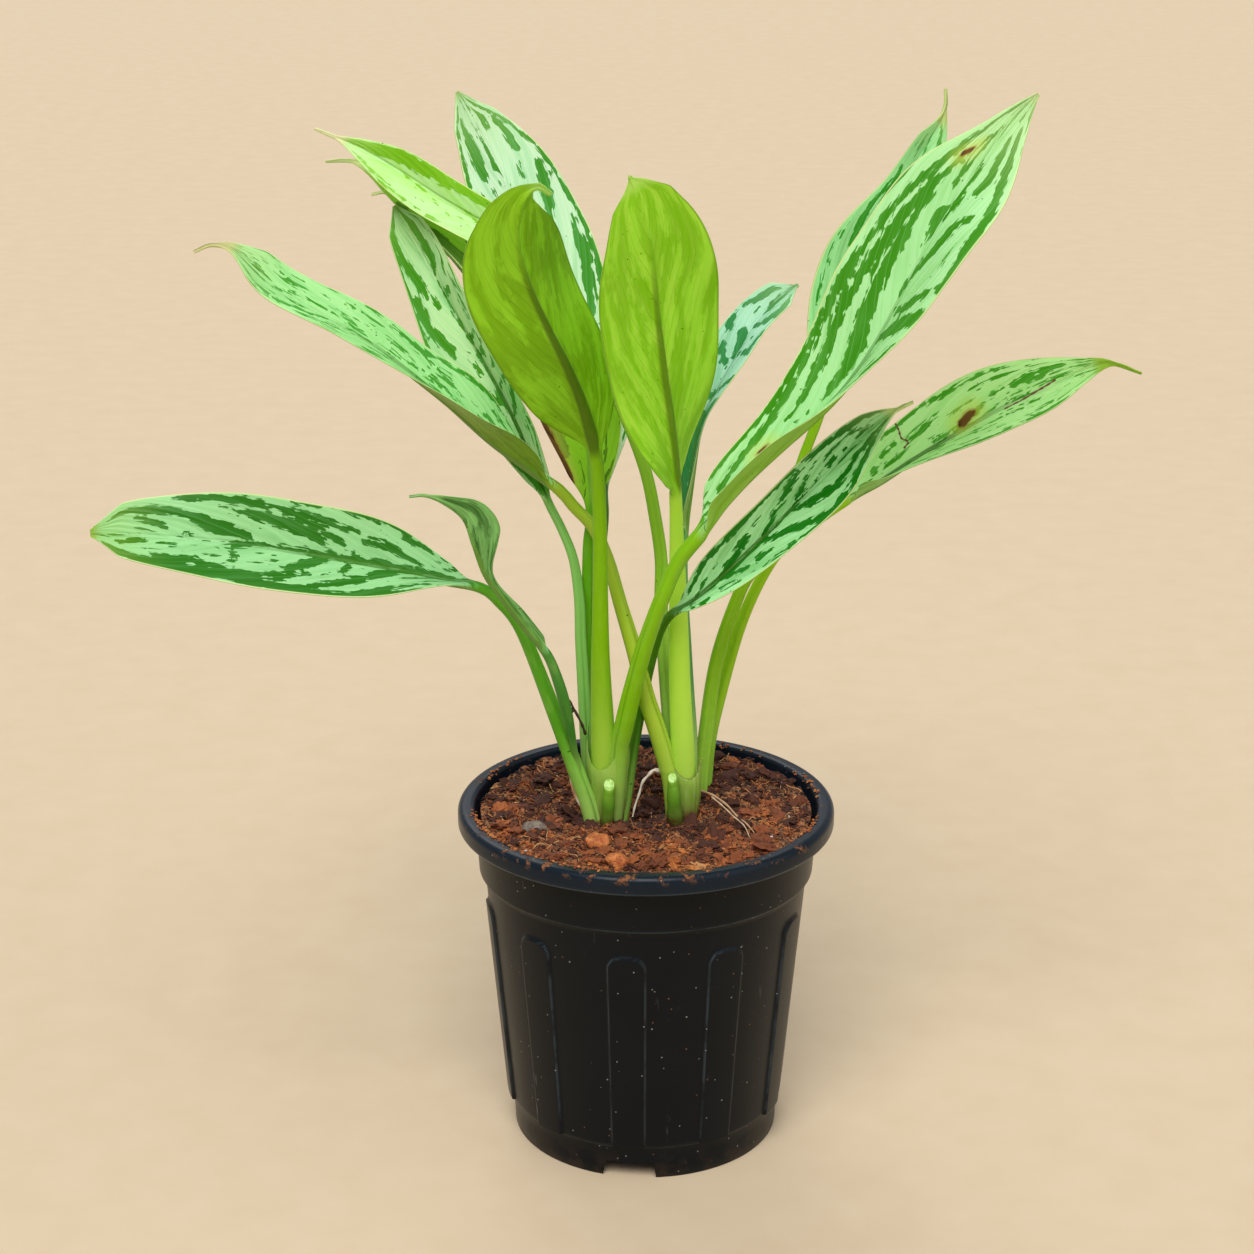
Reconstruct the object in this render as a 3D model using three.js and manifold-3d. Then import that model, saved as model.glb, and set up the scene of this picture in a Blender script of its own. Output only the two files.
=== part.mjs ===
// A potted Chinese evergreen: a black nursery pot filled with coco soil, and three shoots whose
// long-stalked leaves rise from two short canes and from the soil behind them.
// Millimetres, +Z up, -Y is the front. Pieces are drawn round the pot's axis and then moved, so that
// the origin is the middle of the whole plant's box, on the ground.

import * as THREE from 'three';
import { mergeVertices } from 'three/addons/utils/BufferGeometryUtils.js';
import Module from 'manifold-3d';

const wasm = await Module();
wasm.setup();

// ---------------------------------------------------------------- driving dimensions

const CLEARANCE = 0.3; // gap left where one piece is seated on another
const POT_AXIS = [5.6, -4.4, 0]; // from the middle of the whole plant's box

// Pot: a 130 mm nursery pot
const POT_HEIGHT = 121;
const RIM_RADIUS = 65;
const RIM_BORE = 59; // inner edge of the rolled rim
const RIM_ROUND = 1.6; // how far the rim's edges are rounded
const LIP_BOTTOM = 114.2; // underside of the rolled rim
const BAND_TOP_RADIUS = 58.9; // smooth band under the rim
const BAND_FOOT_RADIUS = 57.9;
const BAND_FOOT = 97.5;
const WALL_TOP_RADIUS = 56; // tapered wall under the band
const WALL_FOOT_RADIUS = 48.3;
const FOOT_STEP = 12.5; // the wall steps in to the foot here
const FOOT_TOP_RADIUS = 47.2;
const FOOT_RADIUS = 46.5;
const FOOT_WALL = 1.6;
const POT_WALL = 1.5;
const FLOOR_UNDERSIDE = 7;
const FLOOR_TOP = 8.6;
const POT_SEGMENTS = 50;

const RIB_COUNT = 10; // raised arch-topped ribs on the wall
const RIB_PHASE = -6.7; // degrees from the front to the nearest rib
const RIB_WIDTH = 14; // degrees
const RIB_HEIGHT = 1;
const RIB_TOP = 88;

const NOTCH_COUNT = 3; // drainage notches in the foot
const NOTCH_WIDTH = 18;
const NOTCH_HEIGHT = 6;
const NOTCH_DEPTH = 6;
const DRAIN_COUNT = 6;
const DRAIN_RADIUS = 4;
const DRAIN_CIRCLE = 27;
const DRAIN_SIDES = 14;

// Soil: level with the rim at the edge, and hollowed out round the shoots
const SOIL_LEVEL = 118.6;
const SOIL_HOLLOW = 4.8;
const HOLLOW_RADIUS = 30;
const SOIL_LUMP = 0.9;
const SOIL_SEGMENTS = 40;
const SOIL_RINGS = 7;

// Canes: the short stems the leaf stalks grow from, each with an old flower stalk cut off short
const CANE_SIDES = 14;
const STUB_SIDES = 12;
const CANE_BOTTOM = 72;
const CROWN_LENGTH = 15; // over which the cane swells below its top
const CROWN_ROUND = 1.5;
const canes = [
  {
    name: 'left_cane',
    axis: [-13.5, 2],
    radius: 4.8,
    crownRadius: 6.6,
    top: 130.6,
    stub: { foot: [-13.3, -3, 94], head: [-12.7, -5.8, 130], radius: 2.2 },
  },
  {
    name: 'right_cane',
    axis: [12.5, 5],
    radius: 4.2,
    crownRadius: 4.8,
    top: 126,
    stub: { foot: [11.8, -0.8, 96], head: [9.1, -2.4, 131], radius: 2.7 },
  },
];

// Pebbles lying half sunk in the soil
const pebbles = [
  { name: 'round_pebble', at: [-16, -29, 118], size: [4.3, 4.1, 3.4], turn: 20, color: 0xa8572a },
  { name: 'flat_pebble', at: [-9.6, -47, 119.4], size: [4, 3, 2.4], turn: -15, color: 0x9c5a33 },
  { name: 'grey_pebble', at: [-37.8, -20, 119], size: [4.4, 3.4, 2.6], turn: 5, color: 0x6d6259 },
];

// Leaves. stalk and rib are the points of the leaf's centre line, from its seat to the start of
// the blade, and from there to the tip. halfWidths are the blade's, at even steps of an arc from
// its base to its tip. face points out of the upper side. turn tips the blade about its midrib,
// and fold raises its left and right half, in degrees. thread is the tip's share that is a mere
// thread, and stalkWidth is the stalk's width at its seat, halfway up and at the blade.
const leaves = [
  {
    name: 'front_left_leaf',
    stalk: [[-14.5, 0.5, 131], [-15, -0.5, 151], [-15.5, -3, 174], [-15.5, -5, 196], [-15.5, -9, 225]],
    rib: [[-16.5, -14, 247], [-20, -20, 264], [-24.5, -26, 278], [-31, -33, 294], [-36.5, -38, 308],
      [-39.5, -43, 320.5], [-39.5, -47, 331], [-37, -48.5, 338], [-33.5, -47, 341], [-29.5, -44.5, 338.5]],
    halfWidths: [4.5, 15, 19.5, 20, 11.5],
    face: [0.1, 0.9, 0.3],
    turn: { base: 0, middle: 45, tip: 15 },
    fold: { left: [15, 25], right: [5, 20] },
    arch: 0.05,
    thread: 0.12,
    stalkWidth: [9, 5.6, 4.4],
    color: 0x7f9a1c,
  },
  {
    name: 'big_right_leaf',
    stalk: [[-10.5, -1.5, 123], [-9.5, -2, 139.5], [-8, -3.5, 148], [-4.5, -7.5, 165], [-0.5, -12, 182],
      [5, -17, 200], [10.5, -20, 214]],
    rib: [[16.5, -23, 223], [24, -25, 233], [33, -27, 244], [44, -29, 255.5], [55, -31, 266.5],
      [64, -32, 277.5], [73, -33, 292.5], [83, -33, 313], [92, -32, 330], [104, -30, 347],
      [114, -28, 360.5], [122, -26, 369]],
    halfWidths: [10, 16, 25, 21.5, 6.5],
    face: [-0.4, -0.7, 0.6],
    turn: { base: -10, middle: -15, tip: 5 },
    fold: { left: [40, 50], right: [85, -5] },
    arch: 0.15,
    thread: 0.02,
    stalkWidth: [7.2, 5.6, 5],
    color: 0x6cbb4e,
  },
  {
    name: 'dark_right_leaf',
    stalk: [[-7, 3.5, 122], [-4.5, 4.5, 139.5], [-0.5, 6, 160.5], [1, 5, 168], [3, 2, 177], [5, -2, 184.5]],
    rib: [[8.5, -7, 191.5], [16, -12, 198], [29, -14, 211], [39, -16, 222], [48.5, -17, 232.5],
      [59.5, -18, 244.5], [72, -18, 258], [80, -18, 264.5], [85.5, -18, 267.5]],
    halfWidths: [3.5, 10.5, 13, 13.5, 7],
    face: [-0.3, -0.7, 0.6],
    turn: { base: 10, middle: 25, tip: -25 },
    fold: { left: [30, 70], right: [55, 25] },
    arch: 0.07,
    thread: 0.07,
    stalkWidth: [5, 4, 3],
    color: 0x3f8a3c,
  },
  {
    name: 'far_left_leaf',
    stalk: [[-17.5, -2.5, 107], [-18.8, -3, 117], [-23.5, -3.5, 132], [-30, -5, 152], [-41.5, -9, 185.5],
      [-49.5, -11, 197.5]],
    rib: [[-55, -13, 202.5], [-65, -15, 205.5], [-87.5, -20, 212], [-119, -27, 220], [-139, -31, 224],
      [-165.5, -36, 227.5], [-177.5, -38, 228.5], [-181.5, -39, 227.5]],
    halfWidths: [5.5, 15, 17.5, 15.5, 10],
    face: [0, -0.7, 0.7],
    turn: { base: 40, middle: -10, tip: 10 },
    fold: { left: [30, 20], right: [35, 25] },
    arch: 0.04,
    thread: 0.03,
    stalkWidth: [6.4, 5.2, 3.6],
    color: 0x4f9c48,
  },
  {
    name: 'rolled_leaf',
    stalk: [[-24, -6.5, 141], [-26.5, -11.5, 157], [-29.5, -16, 171]],
    rib: [[-33, -18, 181], [-39, -20, 189.5], [-46.5, -22, 200.5], [-52.5, -24, 210.5], [-56, -26, 221.5],
      [-59, -28, 231], [-65.5, -30, 237], [-71, -31, 239.5], [-76, -32, 239.5]],
    halfWidths: [4, 4, 3, 12, 5],
    face: [0.6, -0.2, 0.6],
    turn: { base: 25, middle: 35, tip: 20 },
    fold: { left: [70, 70], right: [45, 35] },
    arch: 0.14,
    thread: 0.12,
    stalkWidth: [2.6, 4, 3.2],
    color: 0x3c7a2c,
  },
  {
    name: 'broad_left_leaf',
    stalk: [[-19, 3.5, 121], [-20.5, 5, 141.5], [-21.5, 7.5, 159], [-22.5, 10, 176.5], [-23, 13, 190],
      [-25, 17, 203], [-29, 21, 212.5]],
    rib: [[-33.5, 25, 220.5], [-38.5, 28, 232], [-43.5, 31, 245], [-50, 33, 258], [-59, 35.5, 274],
      [-68.5, 38, 290], [-75, 40, 302], [-82, 42, 313.5], [-86.5, 44, 321.5]],
    halfWidths: [6, 12.5, 17, 12, 7.5],
    face: [0.2, -0.8, 0.5],
    turn: { base: 10, middle: -40, tip: -5 },
    fold: { left: [45, 30], right: [65, 35] },
    arch: 0.05,
    thread: 0.02,
    stalkWidth: [5, 4, 3],
    color: 0x5fb35c,
  },
  {
    name: 'young_lower_leaf',
    stalk: [[-17.5, 8, 121], [-18, 10, 132], [-19.5, 13, 146], [-20, 15.5, 159.5], [-20.5, 17, 174],
      [-20.5, 18, 188], [-20, 19, 207.5]],
    rib: [[-19, 19.5, 218], [-19.5, 22, 240.5], [-23.5, 25, 257], [-32, 29, 273.5], [-40, 34, 287.5],
      [-50.5, 38, 301.5], [-62.5, 43, 313], [-74.5, 47, 320], [-84.5, 50, 326], [-93.5, 52, 331],
      [-101, 54, 333], [-109.5, 56, 332.5]],
    halfWidths: [6.5, 15, 12.5, 11, 5.5],
    face: [0.2, -0.7, 0.6],
    turn: { base: -15, middle: -10, tip: -15 },
    fold: { left: [15, 15], right: [30, 30] },
    arch: 0.12,
    thread: 0.08,
    stalkWidth: [5, 4, 3.6],
    color: 0x9fd45c,
  },
  {
    name: 'shaded_back_leaf',
    stalk: [[-14, 9, 121], [-16, 16, 135.5], [-17, 22, 157.5], [-17, 27, 178], [-18, 31, 198.5],
      [-19.5, 34, 219], [-23.5, 37, 236.5]],
    rib: [[-30.5, 39, 249.5], [-39, 42, 263.5], [-50.5, 47, 279.5], [-62, 52, 294.5], [-74.5, 56, 308.5],
      [-85, 60, 318.5], [-90, 62, 321], [-95, 64, 320]],
    halfWidths: [4, 10.5, 12.5, 13.5, 3],
    face: [0.5, 0.2, 0.8],
    turn: { base: -10, middle: -10, tip: -20 },
    fold: { left: [30, 5], right: [60, 40] },
    arch: 0.12,
    thread: 0.12,
    stalkWidth: [4, 3.5, 3],
    color: 0x5f8a1a,
  },
  {
    name: 'tall_back_leaf',
    stalk: [[-11.5, 9.5, 123], [-14.5, 13, 142], [-15.3, 16, 167], [-15.7, 20, 187.5], [-15.5, 24, 203]],
    rib: [[-14.5, 29, 216], [-15.5, 33, 230.5], [-19.5, 40, 249.5], [-25.5, 48, 269], [-32.5, 55, 288.5],
      [-38.5, 60, 305], [-47.5, 64, 321.5], [-54, 67, 333.5], [-59.5, 69, 343], [-66.5, 71, 356]],
    halfWidths: [2.5, 18.5, 21, 20, 9.5],
    face: [0.1, -0.8, 0.5],
    turn: { base: 20, middle: 20, tip: 5 },
    fold: { left: [20, 25], right: [10, 15] },
    arch: 0.1,
    thread: 0.015,
    stalkWidth: [4.4, 3.6, 3],
    color: 0x63bb66,
  },
  {
    name: 'pale_left_leaf',
    stalk: [[9, 2, 126.6], [7, 1.5, 135.5], [3.5, 1, 148], [0, 2, 158.5], [-4, 5, 174], [-9, 9.5, 190],
      [-13, 12, 204], [-18, 13, 215.5], [-24.5, 14, 222.5]],
    rib: [[-29.5, 14, 228.5], [-39.5, 14, 236], [-52.5, 13, 246], [-65.5, 11, 258.5], [-75, 9, 267],
      [-88, 6, 278.5], [-100.5, 3, 287.5], [-113, 0, 295.5], [-122, -2, 302], [-132.5, -4, 313],
      [-139.5, -5, 315.5], [-145.5, -6, 313.5]],
    halfWidths: [6, 16, 12.5, 11, 8],
    face: [0.3, -0.6, 0.7],
    turn: { base: 30, middle: 5, tip: 35 },
    fold: { left: [85, 0], right: [5, 40] },
    arch: 0.09,
    thread: 0.08,
    stalkWidth: [7.4, 5, 4],
    color: 0x9fe08a,
  },
  {
    name: 'front_right_leaf',
    stalk: [[13.2, 4.5, 126.6], [12.5, 4, 140], [11.5, 3, 160.5], [11, 1.5, 179.5], [10.5, -1, 198],
      [10, -5, 217]],
    rib: [[9.5, -10, 233], [8, -18, 254.5], [5.5, -25, 276], [3, -32, 297], [1, -40, 319],
      [-1.5, -45, 332.5], [-3.5, -48, 340.5], [-5.5, -50, 345]],
    halfWidths: [7, 18, 22.5, 20, 10],
    face: [0, 0.9, 0.3],
    turn: { base: 65, middle: 40, tip: 45 },
    fold: { left: [15, -15], right: [-10, 20] },
    arch: 0.14,
    thread: 0,
    stalkWidth: [8.6, 6.8, 4.2],
    color: 0x8cc81e,
  },
  {
    name: 'young_upper_leaf',
    stalk: [[10.5, 8.5, 126.6], [9, 10, 136], [7.5, 11.5, 152], [6, 13, 171.5], [5, 15, 189], [5, 16, 203],
      [3, 15, 218], [-0.5, 14, 235.5], [-7.5, 14, 254.5], [-15.5, 15, 270.5]],
    rib: [[-24, 16, 283], [-33, 18, 295.5], [-43, 22, 306.5], [-52, 27, 315], [-60.5, 31, 319.5],
      [-70, 34, 324.5], [-80, 37, 330.5], [-90, 40, 336], [-99.5, 43, 340.5], [-111.5, 46, 345]],
    halfWidths: [3, 7, 9, 9, 4],
    face: [0.2, -0.6, 0.7],
    turn: { base: -30, middle: -30, tip: -20 },
    fold: { left: [25, 20], right: [40, 40] },
    arch: 0.12,
    thread: 0.09,
    stalkWidth: [5, 4.4, 3.6],
    color: 0xa6e04a,
  },
  {
    name: 'small_back_leaf',
    stalk: [[15.8, 8.5, 126.6], [16, 14, 139], [15, 18, 155], [14, 20, 173], [13, 21, 191]],
    rib: [[13, 22, 208.5], [15, 24, 226], [18, 27, 246], [23, 29, 258], [31.5, 32, 273], [36.5, 34, 281],
      [43, 36, 288], [51, 38, 294]],
    halfWidths: [3.5, 9, 13.5, 11, 6.5],
    face: [-0.2, -0.8, 0.5],
    turn: { base: -60, middle: -35, tip: -5 },
    fold: { left: [20, 30], right: [50, 20] },
    arch: 0.08,
    thread: 0,
    stalkWidth: [4, 3.2, 2.6],
    color: 0x4f9a6a,
  },
  {
    name: 'tall_right_leaf',
    stalk: [[18, 18, 103], [18.5, 18, 113], [20.5, 19, 134.5], [24.5, 21, 165], [32.5, 23, 190],
      [38.5, 24, 200], [47.5, 27, 218], [54, 31, 236.5]],
    rib: [[59, 33, 250], [63.5, 36, 265], [69, 40, 285], [75, 45, 301], [82.5, 50, 317], [91.5, 55, 333.5],
      [98.5, 58, 344.5], [101, 60, 351], [101, 61, 356.5]],
    halfWidths: [5, 16, 21, 10, 7],
    face: [-0.3, -0.7, 0.6],
    turn: { base: 45, middle: 45, tip: 50 },
    fold: { left: [15, 45], right: [15, 15] },
    arch: 0.09,
    thread: 0.09,
    stalkWidth: [5.8, 4.6, 3.4],
    color: 0x66bb55,
  },
  {
    name: 'far_right_leaf',
    stalk: [[20, 24, 103], [20.5, 24.5, 113], [22, 26, 131.5], [25.5, 28, 148], [33.5, 32, 176],
      [43.5, 34, 197], [53.5, 35, 207]],
    rib: [[68.5, 36, 218], [80.5, 37, 224.5], [92.5, 37, 233], [107.5, 36, 243], [120.5, 34, 251.5],
      [133.5, 32, 258.5], [146.5, 30, 265.5], [156, 27, 269.5], [166.5, 25, 266.5]],
    halfWidths: [12, 14.5, 17, 13.5, 5.5],
    face: [-0.2, -0.6, 0.8],
    turn: { base: -10, middle: 10, tip: 30 },
    fold: { left: [25, 30], right: [70, 10] },
    arch: 0.04,
    thread: 0.13,
    stalkWidth: [5.6, 4.4, 3.4],
    color: 0x74bf58,
  },
];

// Leaf sections
const BLADE_EDGE = 0.3; // half thickness at the blade's edge
const BLADE_BODY = 0.4; // half thickness between edge and midrib
const TIP_HALF_WIDTH = 0.5;
const RIB_AT_TIP = 0.45; // radius of the midrib where the tip begins
const STALK_STEP = 18; // length of stalk between two sections
const BLADE_SECTIONS = 12;
const THREAD_SECTIONS = 2;
const BLADE_BLEND = 0.09; // share of the blade over which the round stalk flattens
const SEAT_ZONE = 60; // length of stalk that may press against its neighbours

// ---------------------------------------------------------------- solids

function solidFrom(geometry) {
  const bare = geometry.clone();
  bare.deleteAttribute('normal');
  bare.deleteAttribute('uv');
  const merged = mergeVertices(bare, 1e-4);
  return new wasm.Manifold(new wasm.Mesh({
    numProp: 3,
    vertProperties: new Float32Array(merged.attributes.position.array),
    triVerts: new Uint32Array(merged.index.array),
  }));
}

function geometryFrom(solid) {
  const mesh = solid.getMesh();
  const geometry = new THREE.BufferGeometry();
  geometry.setAttribute('position', new THREE.BufferAttribute(mesh.vertProperties, 3));
  geometry.setIndex(new THREE.BufferAttribute(mesh.triVerts, 1));
  geometry.computeVertexNormals();
  return geometry;
}

// The one body that is left of a piece once its neighbours' seats are cut from it
function largestBody(solid) {
  return solid.decompose().reduce((best, body) => (body.volume() > best.volume() ? body : best));
}

// A solid of revolution whose profile runs from the axis out and back to the axis
function turned(profile, segments) {
  const points = profile.map(([radius, height]) => new THREE.Vector2(radius, height));
  const geometry = new THREE.LatheGeometry(points, segments);
  return solidFrom(geometry.rotateX(Math.PI / 2));
}

// ---------------------------------------------------------------- pot

function potOutside() {
  return turned([
    [0, FLOOR_UNDERSIDE],
    [FOOT_RADIUS - FOOT_WALL, FLOOR_UNDERSIDE],
    [FOOT_RADIUS - FOOT_WALL, 0],
    [FOOT_RADIUS, 0],
    [FOOT_TOP_RADIUS, FOOT_STEP],
    [WALL_FOOT_RADIUS, FOOT_STEP],
    [WALL_TOP_RADIUS, BAND_FOOT],
    [BAND_FOOT_RADIUS, BAND_FOOT],
    [BAND_TOP_RADIUS, LIP_BOTTOM],
    [RIM_RADIUS - RIM_ROUND, LIP_BOTTOM],
    [RIM_RADIUS - 0.3 * RIM_ROUND, LIP_BOTTOM + 0.6 * RIM_ROUND],
    [RIM_RADIUS, LIP_BOTTOM + 2 * RIM_ROUND],
    [RIM_RADIUS - 0.4 * RIM_ROUND, POT_HEIGHT - RIM_ROUND],
    [RIM_RADIUS - 1.4 * RIM_ROUND, POT_HEIGHT - 0.2 * RIM_ROUND],
    [RIM_RADIUS - 2.4 * RIM_ROUND, POT_HEIGHT],
    [0, POT_HEIGHT],
  ], POT_SEGMENTS);
}

// The pot's inner surface from the middle of the floor up to the rim, drawn in by a margin
function insideWall(margin) {
  return [
    [0, FLOOR_TOP + margin],
    [FOOT_TOP_RADIUS - POT_WALL - 1 - margin, FLOOR_TOP + margin],
    [FOOT_TOP_RADIUS - POT_WALL - margin, FOOT_STEP - 1],
    [WALL_FOOT_RADIUS - POT_WALL - margin, FOOT_STEP + 1],
    [WALL_TOP_RADIUS - POT_WALL - margin, BAND_FOOT - 1],
    [BAND_FOOT_RADIUS - POT_WALL - margin, BAND_FOOT + 1],
    [BAND_TOP_RADIUS - POT_WALL - margin, LIP_BOTTOM],
    [RIM_BORE - margin, POT_HEIGHT - RIM_ROUND],
  ];
}

function potInside() {
  const open = POT_HEIGHT + 1;
  return turned([...insideWall(0), [RIM_BORE + 1, open], [0, open]], POT_SEGMENTS);
}

// Places a geometry drawn with x across, y up and z outward on the pot's side at an angle
function onSide(geometry, degrees) {
  const angle = THREE.MathUtils.degToRad(degrees);
  const across = new THREE.Vector3(Math.cos(angle), Math.sin(angle), 0);
  const up = new THREE.Vector3(0, 0, 1);
  const outward = new THREE.Vector3(Math.sin(angle), -Math.cos(angle), 0);
  return geometry.applyMatrix4(new THREE.Matrix4().makeBasis(across, up, outward));
}

function ribOutline() {
  const half = WALL_TOP_RADIUS * Math.sin(THREE.MathUtils.degToRad(RIB_WIDTH / 2));
  const footHalf = WALL_FOOT_RADIUS * Math.sin(THREE.MathUtils.degToRad(RIB_WIDTH / 2));
  const shape = new THREE.Shape();
  shape.moveTo(-footHalf, FOOT_STEP);
  shape.lineTo(footHalf, FOOT_STEP);
  shape.lineTo(half, RIB_TOP - half);
  shape.absarc(0, RIB_TOP - half, half, 0, Math.PI, false);
  return shape;
}

function wallRadius(height) {
  const share = (height - FOOT_STEP) / (BAND_FOOT - FOOT_STEP);
  return THREE.MathUtils.lerp(WALL_FOOT_RADIUS, WALL_TOP_RADIUS, share);
}

function potRibs() {
  const bars = [];
  const top = RIB_TOP + 2;
  for (let i = 0; i < RIB_COUNT; i += 1) {
    const options = { depth: RIM_RADIUS, bevelEnabled: false, curveSegments: 6 };
    const bar = new THREE.ExtrudeGeometry(ribOutline(), options);
    bars.push(solidFrom(onSide(bar, RIB_PHASE + (i * 360) / RIB_COUNT)));
  }
  const skin = turned([
    [0, FOOT_STEP],
    [wallRadius(FOOT_STEP) + RIB_HEIGHT, FOOT_STEP],
    [wallRadius(top) + RIB_HEIGHT, top],
    [0, top],
  ], POT_SEGMENTS);
  return bars.reduce((all, bar) => all.add(bar)).intersect(skin);
}

function potOpenings() {
  const cuts = [];
  for (let i = 0; i < NOTCH_COUNT; i += 1) {
    const notch = new THREE.BoxGeometry(NOTCH_WIDTH, 2 * NOTCH_HEIGHT, 2 * NOTCH_DEPTH);
    notch.translate(0, 0, FOOT_RADIUS);
    cuts.push(solidFrom(onSide(notch, RIB_PHASE + (i * 360) / NOTCH_COUNT)));
  }
  for (let i = 0; i < DRAIN_COUNT; i += 1) {
    const angle = (i * 2 * Math.PI) / DRAIN_COUNT;
    const drain = new THREE.CylinderGeometry(DRAIN_RADIUS, DRAIN_RADIUS, FLOOR_TOP, DRAIN_SIDES);
    drain.rotateX(Math.PI / 2);
    drain.translate(DRAIN_CIRCLE * Math.cos(angle), DRAIN_CIRCLE * Math.sin(angle), FLOOR_TOP);
    cuts.push(solidFrom(drain));
  }
  return cuts.reduce((all, cut) => all.add(cut));
}

function buildPot() {
  return potOutside().add(potRibs()).subtract(potInside()).subtract(potOpenings());
}

// ---------------------------------------------------------------- soil

function soilHeight(x, y) {
  const hollow = Math.exp(-(x * x + y * y) / (HOLLOW_RADIUS * HOLLOW_RADIUS));
  const long = Math.sin(0.31 * x + 1) * Math.cos(0.27 * y);
  const short = Math.sin(0.73 * x + 0.51 * y) * Math.cos(0.62 * x - 0.8 * y + 2);
  return SOIL_LEVEL - SOIL_HOLLOW * hollow + SOIL_LUMP * (0.7 * long + 0.5 * short);
}

function buildSoil(sunk) {
  const wall = insideWall(CLEARANCE).filter(([, height]) => height <= LIP_BOTTOM);
  const edge = BAND_TOP_RADIUS - POT_WALL;
  const rings = Array.from({ length: SOIL_RINGS }, (_, i) => [edge * (1 - i / SOIL_RINGS), SOIL_LEVEL]);
  const profile = [...wall, ...rings, [0, SOIL_LEVEL]];
  const points = profile.map(([radius, height]) => new THREE.Vector2(radius, height));
  const filling = new THREE.LatheGeometry(points, SOIL_SEGMENTS).rotateX(Math.PI / 2);
  const position = filling.attributes.position;
  for (let i = 0; i < position.count; i += 1) {
    if (position.getZ(i) > LIP_BOTTOM) {
      position.setZ(i, soilHeight(position.getX(i), position.getY(i)));
    }
  }
  return largestBody(sunk.reduce((soil, piece) => soil.subtract(piece), solidFrom(filling)));
}

// ---------------------------------------------------------------- canes and pebbles

function buildStub({ foot, head, radius }, grow) {
  const from = new THREE.Vector3(...foot);
  const reach = new THREE.Vector3(...head).sub(from);
  const full = radius + grow;
  const stub = new THREE.CylinderGeometry(full, full, reach.length() + 2 * grow, STUB_SIDES);
  const up = new THREE.Vector3(0, 1, 0);
  stub.applyQuaternion(new THREE.Quaternion().setFromUnitVectors(up, reach.clone().normalize()));
  const middle = from.addScaledVector(reach, 0.5);
  return solidFrom(stub.translate(middle.x, middle.y, middle.z));
}

function buildCane({ axis, radius, crownRadius, top, stub }, grow = 0) {
  const stem = turned([
    [0, CANE_BOTTOM - grow],
    [radius - CROWN_ROUND + grow, CANE_BOTTOM - grow],
    [radius + grow, CANE_BOTTOM + CROWN_ROUND],
    [radius + grow, top - CROWN_LENGTH],
    [crownRadius + grow, top - CROWN_ROUND],
    [crownRadius - 0.5 * CROWN_ROUND + grow, top + grow],
    [0, top + grow],
  ], CANE_SIDES);
  return stem.translate([...axis, 0]).add(buildStub(stub, grow));
}

function buildPebble({ at, size, turn }, grow = 0) {
  const pebble = new THREE.IcosahedronGeometry(1, 1);
  pebble.scale(size[0] + grow, size[1] + grow, size[2] + grow);
  pebble.rotateZ(THREE.MathUtils.degToRad(turn));
  return solidFrom(pebble.translate(...at));
}

// ---------------------------------------------------------------- leaves

const SPAN_STEPS = 24; // curve steps between two points of a leaf's centre line

// The leaf's centre line, its length, and the length of its stalk
function centreLine(leaf) {
  const points = [...leaf.stalk, ...leaf.rib].map((point) => new THREE.Vector3(...point));
  const curve = new THREE.CatmullRomCurve3(points, false, 'catmullrom', 0.5);
  curve.arcLengthDivisions = SPAN_STEPS * (points.length - 1);
  const lengths = curve.getLengths();
  return { curve, length: lengths.at(-1), stalkLength: lengths[SPAN_STEPS * leaf.stalk.length] };
}

// A smooth curve through values at even steps, read at a share of the whole from 0 to 1
function along(values, share) {
  const place = THREE.MathUtils.clamp(share, 0, 1) * (values.length - 1);
  const i = Math.min(Math.floor(place), values.length - 2);
  const x = place - i;
  const value = (k) => values[THREE.MathUtils.clamp(k, 0, values.length - 1)];
  const start = (value(i + 1) - value(i - 1)) / 2;
  const end = (value(i + 2) - value(i)) / 2;
  const rise = value(i + 1) - value(i);
  return value(i) + start * x + (3 * rise - 2 * start - end) * x * x + (start + end - 2 * rise) * x ** 3;
}

function halfWidth(leaf, t) {
  const share = THREE.MathUtils.clamp(t / (1 - leaf.thread), 0, 1);
  const widths = [leaf.stalkWidth.at(-1) / 2, ...leaf.halfWidths, TIP_HALF_WIDTH];
  return Math.max(along(widths, Math.acos(1 - 2 * share) / Math.PI), TIP_HALF_WIDTH);
}

// Directions at a point of the centre line: forward, out of the upper face, and to the right
function bladeAxes(leaf, forward, t) {
  const { base, middle, tip } = leaf.turn;
  const end = t < 0.5 ? base : tip;
  const turn = middle + (end - middle) * (1 - 2 * t) ** 2;
  const face = new THREE.Vector3(...leaf.face);
  const upper = face.addScaledVector(forward, -face.dot(forward)).normalize();
  upper.applyAxisAngle(forward, THREE.MathUtils.degToRad(turn));
  return { upper, right: new THREE.Vector3().crossVectors(forward, upper) };
}

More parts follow.
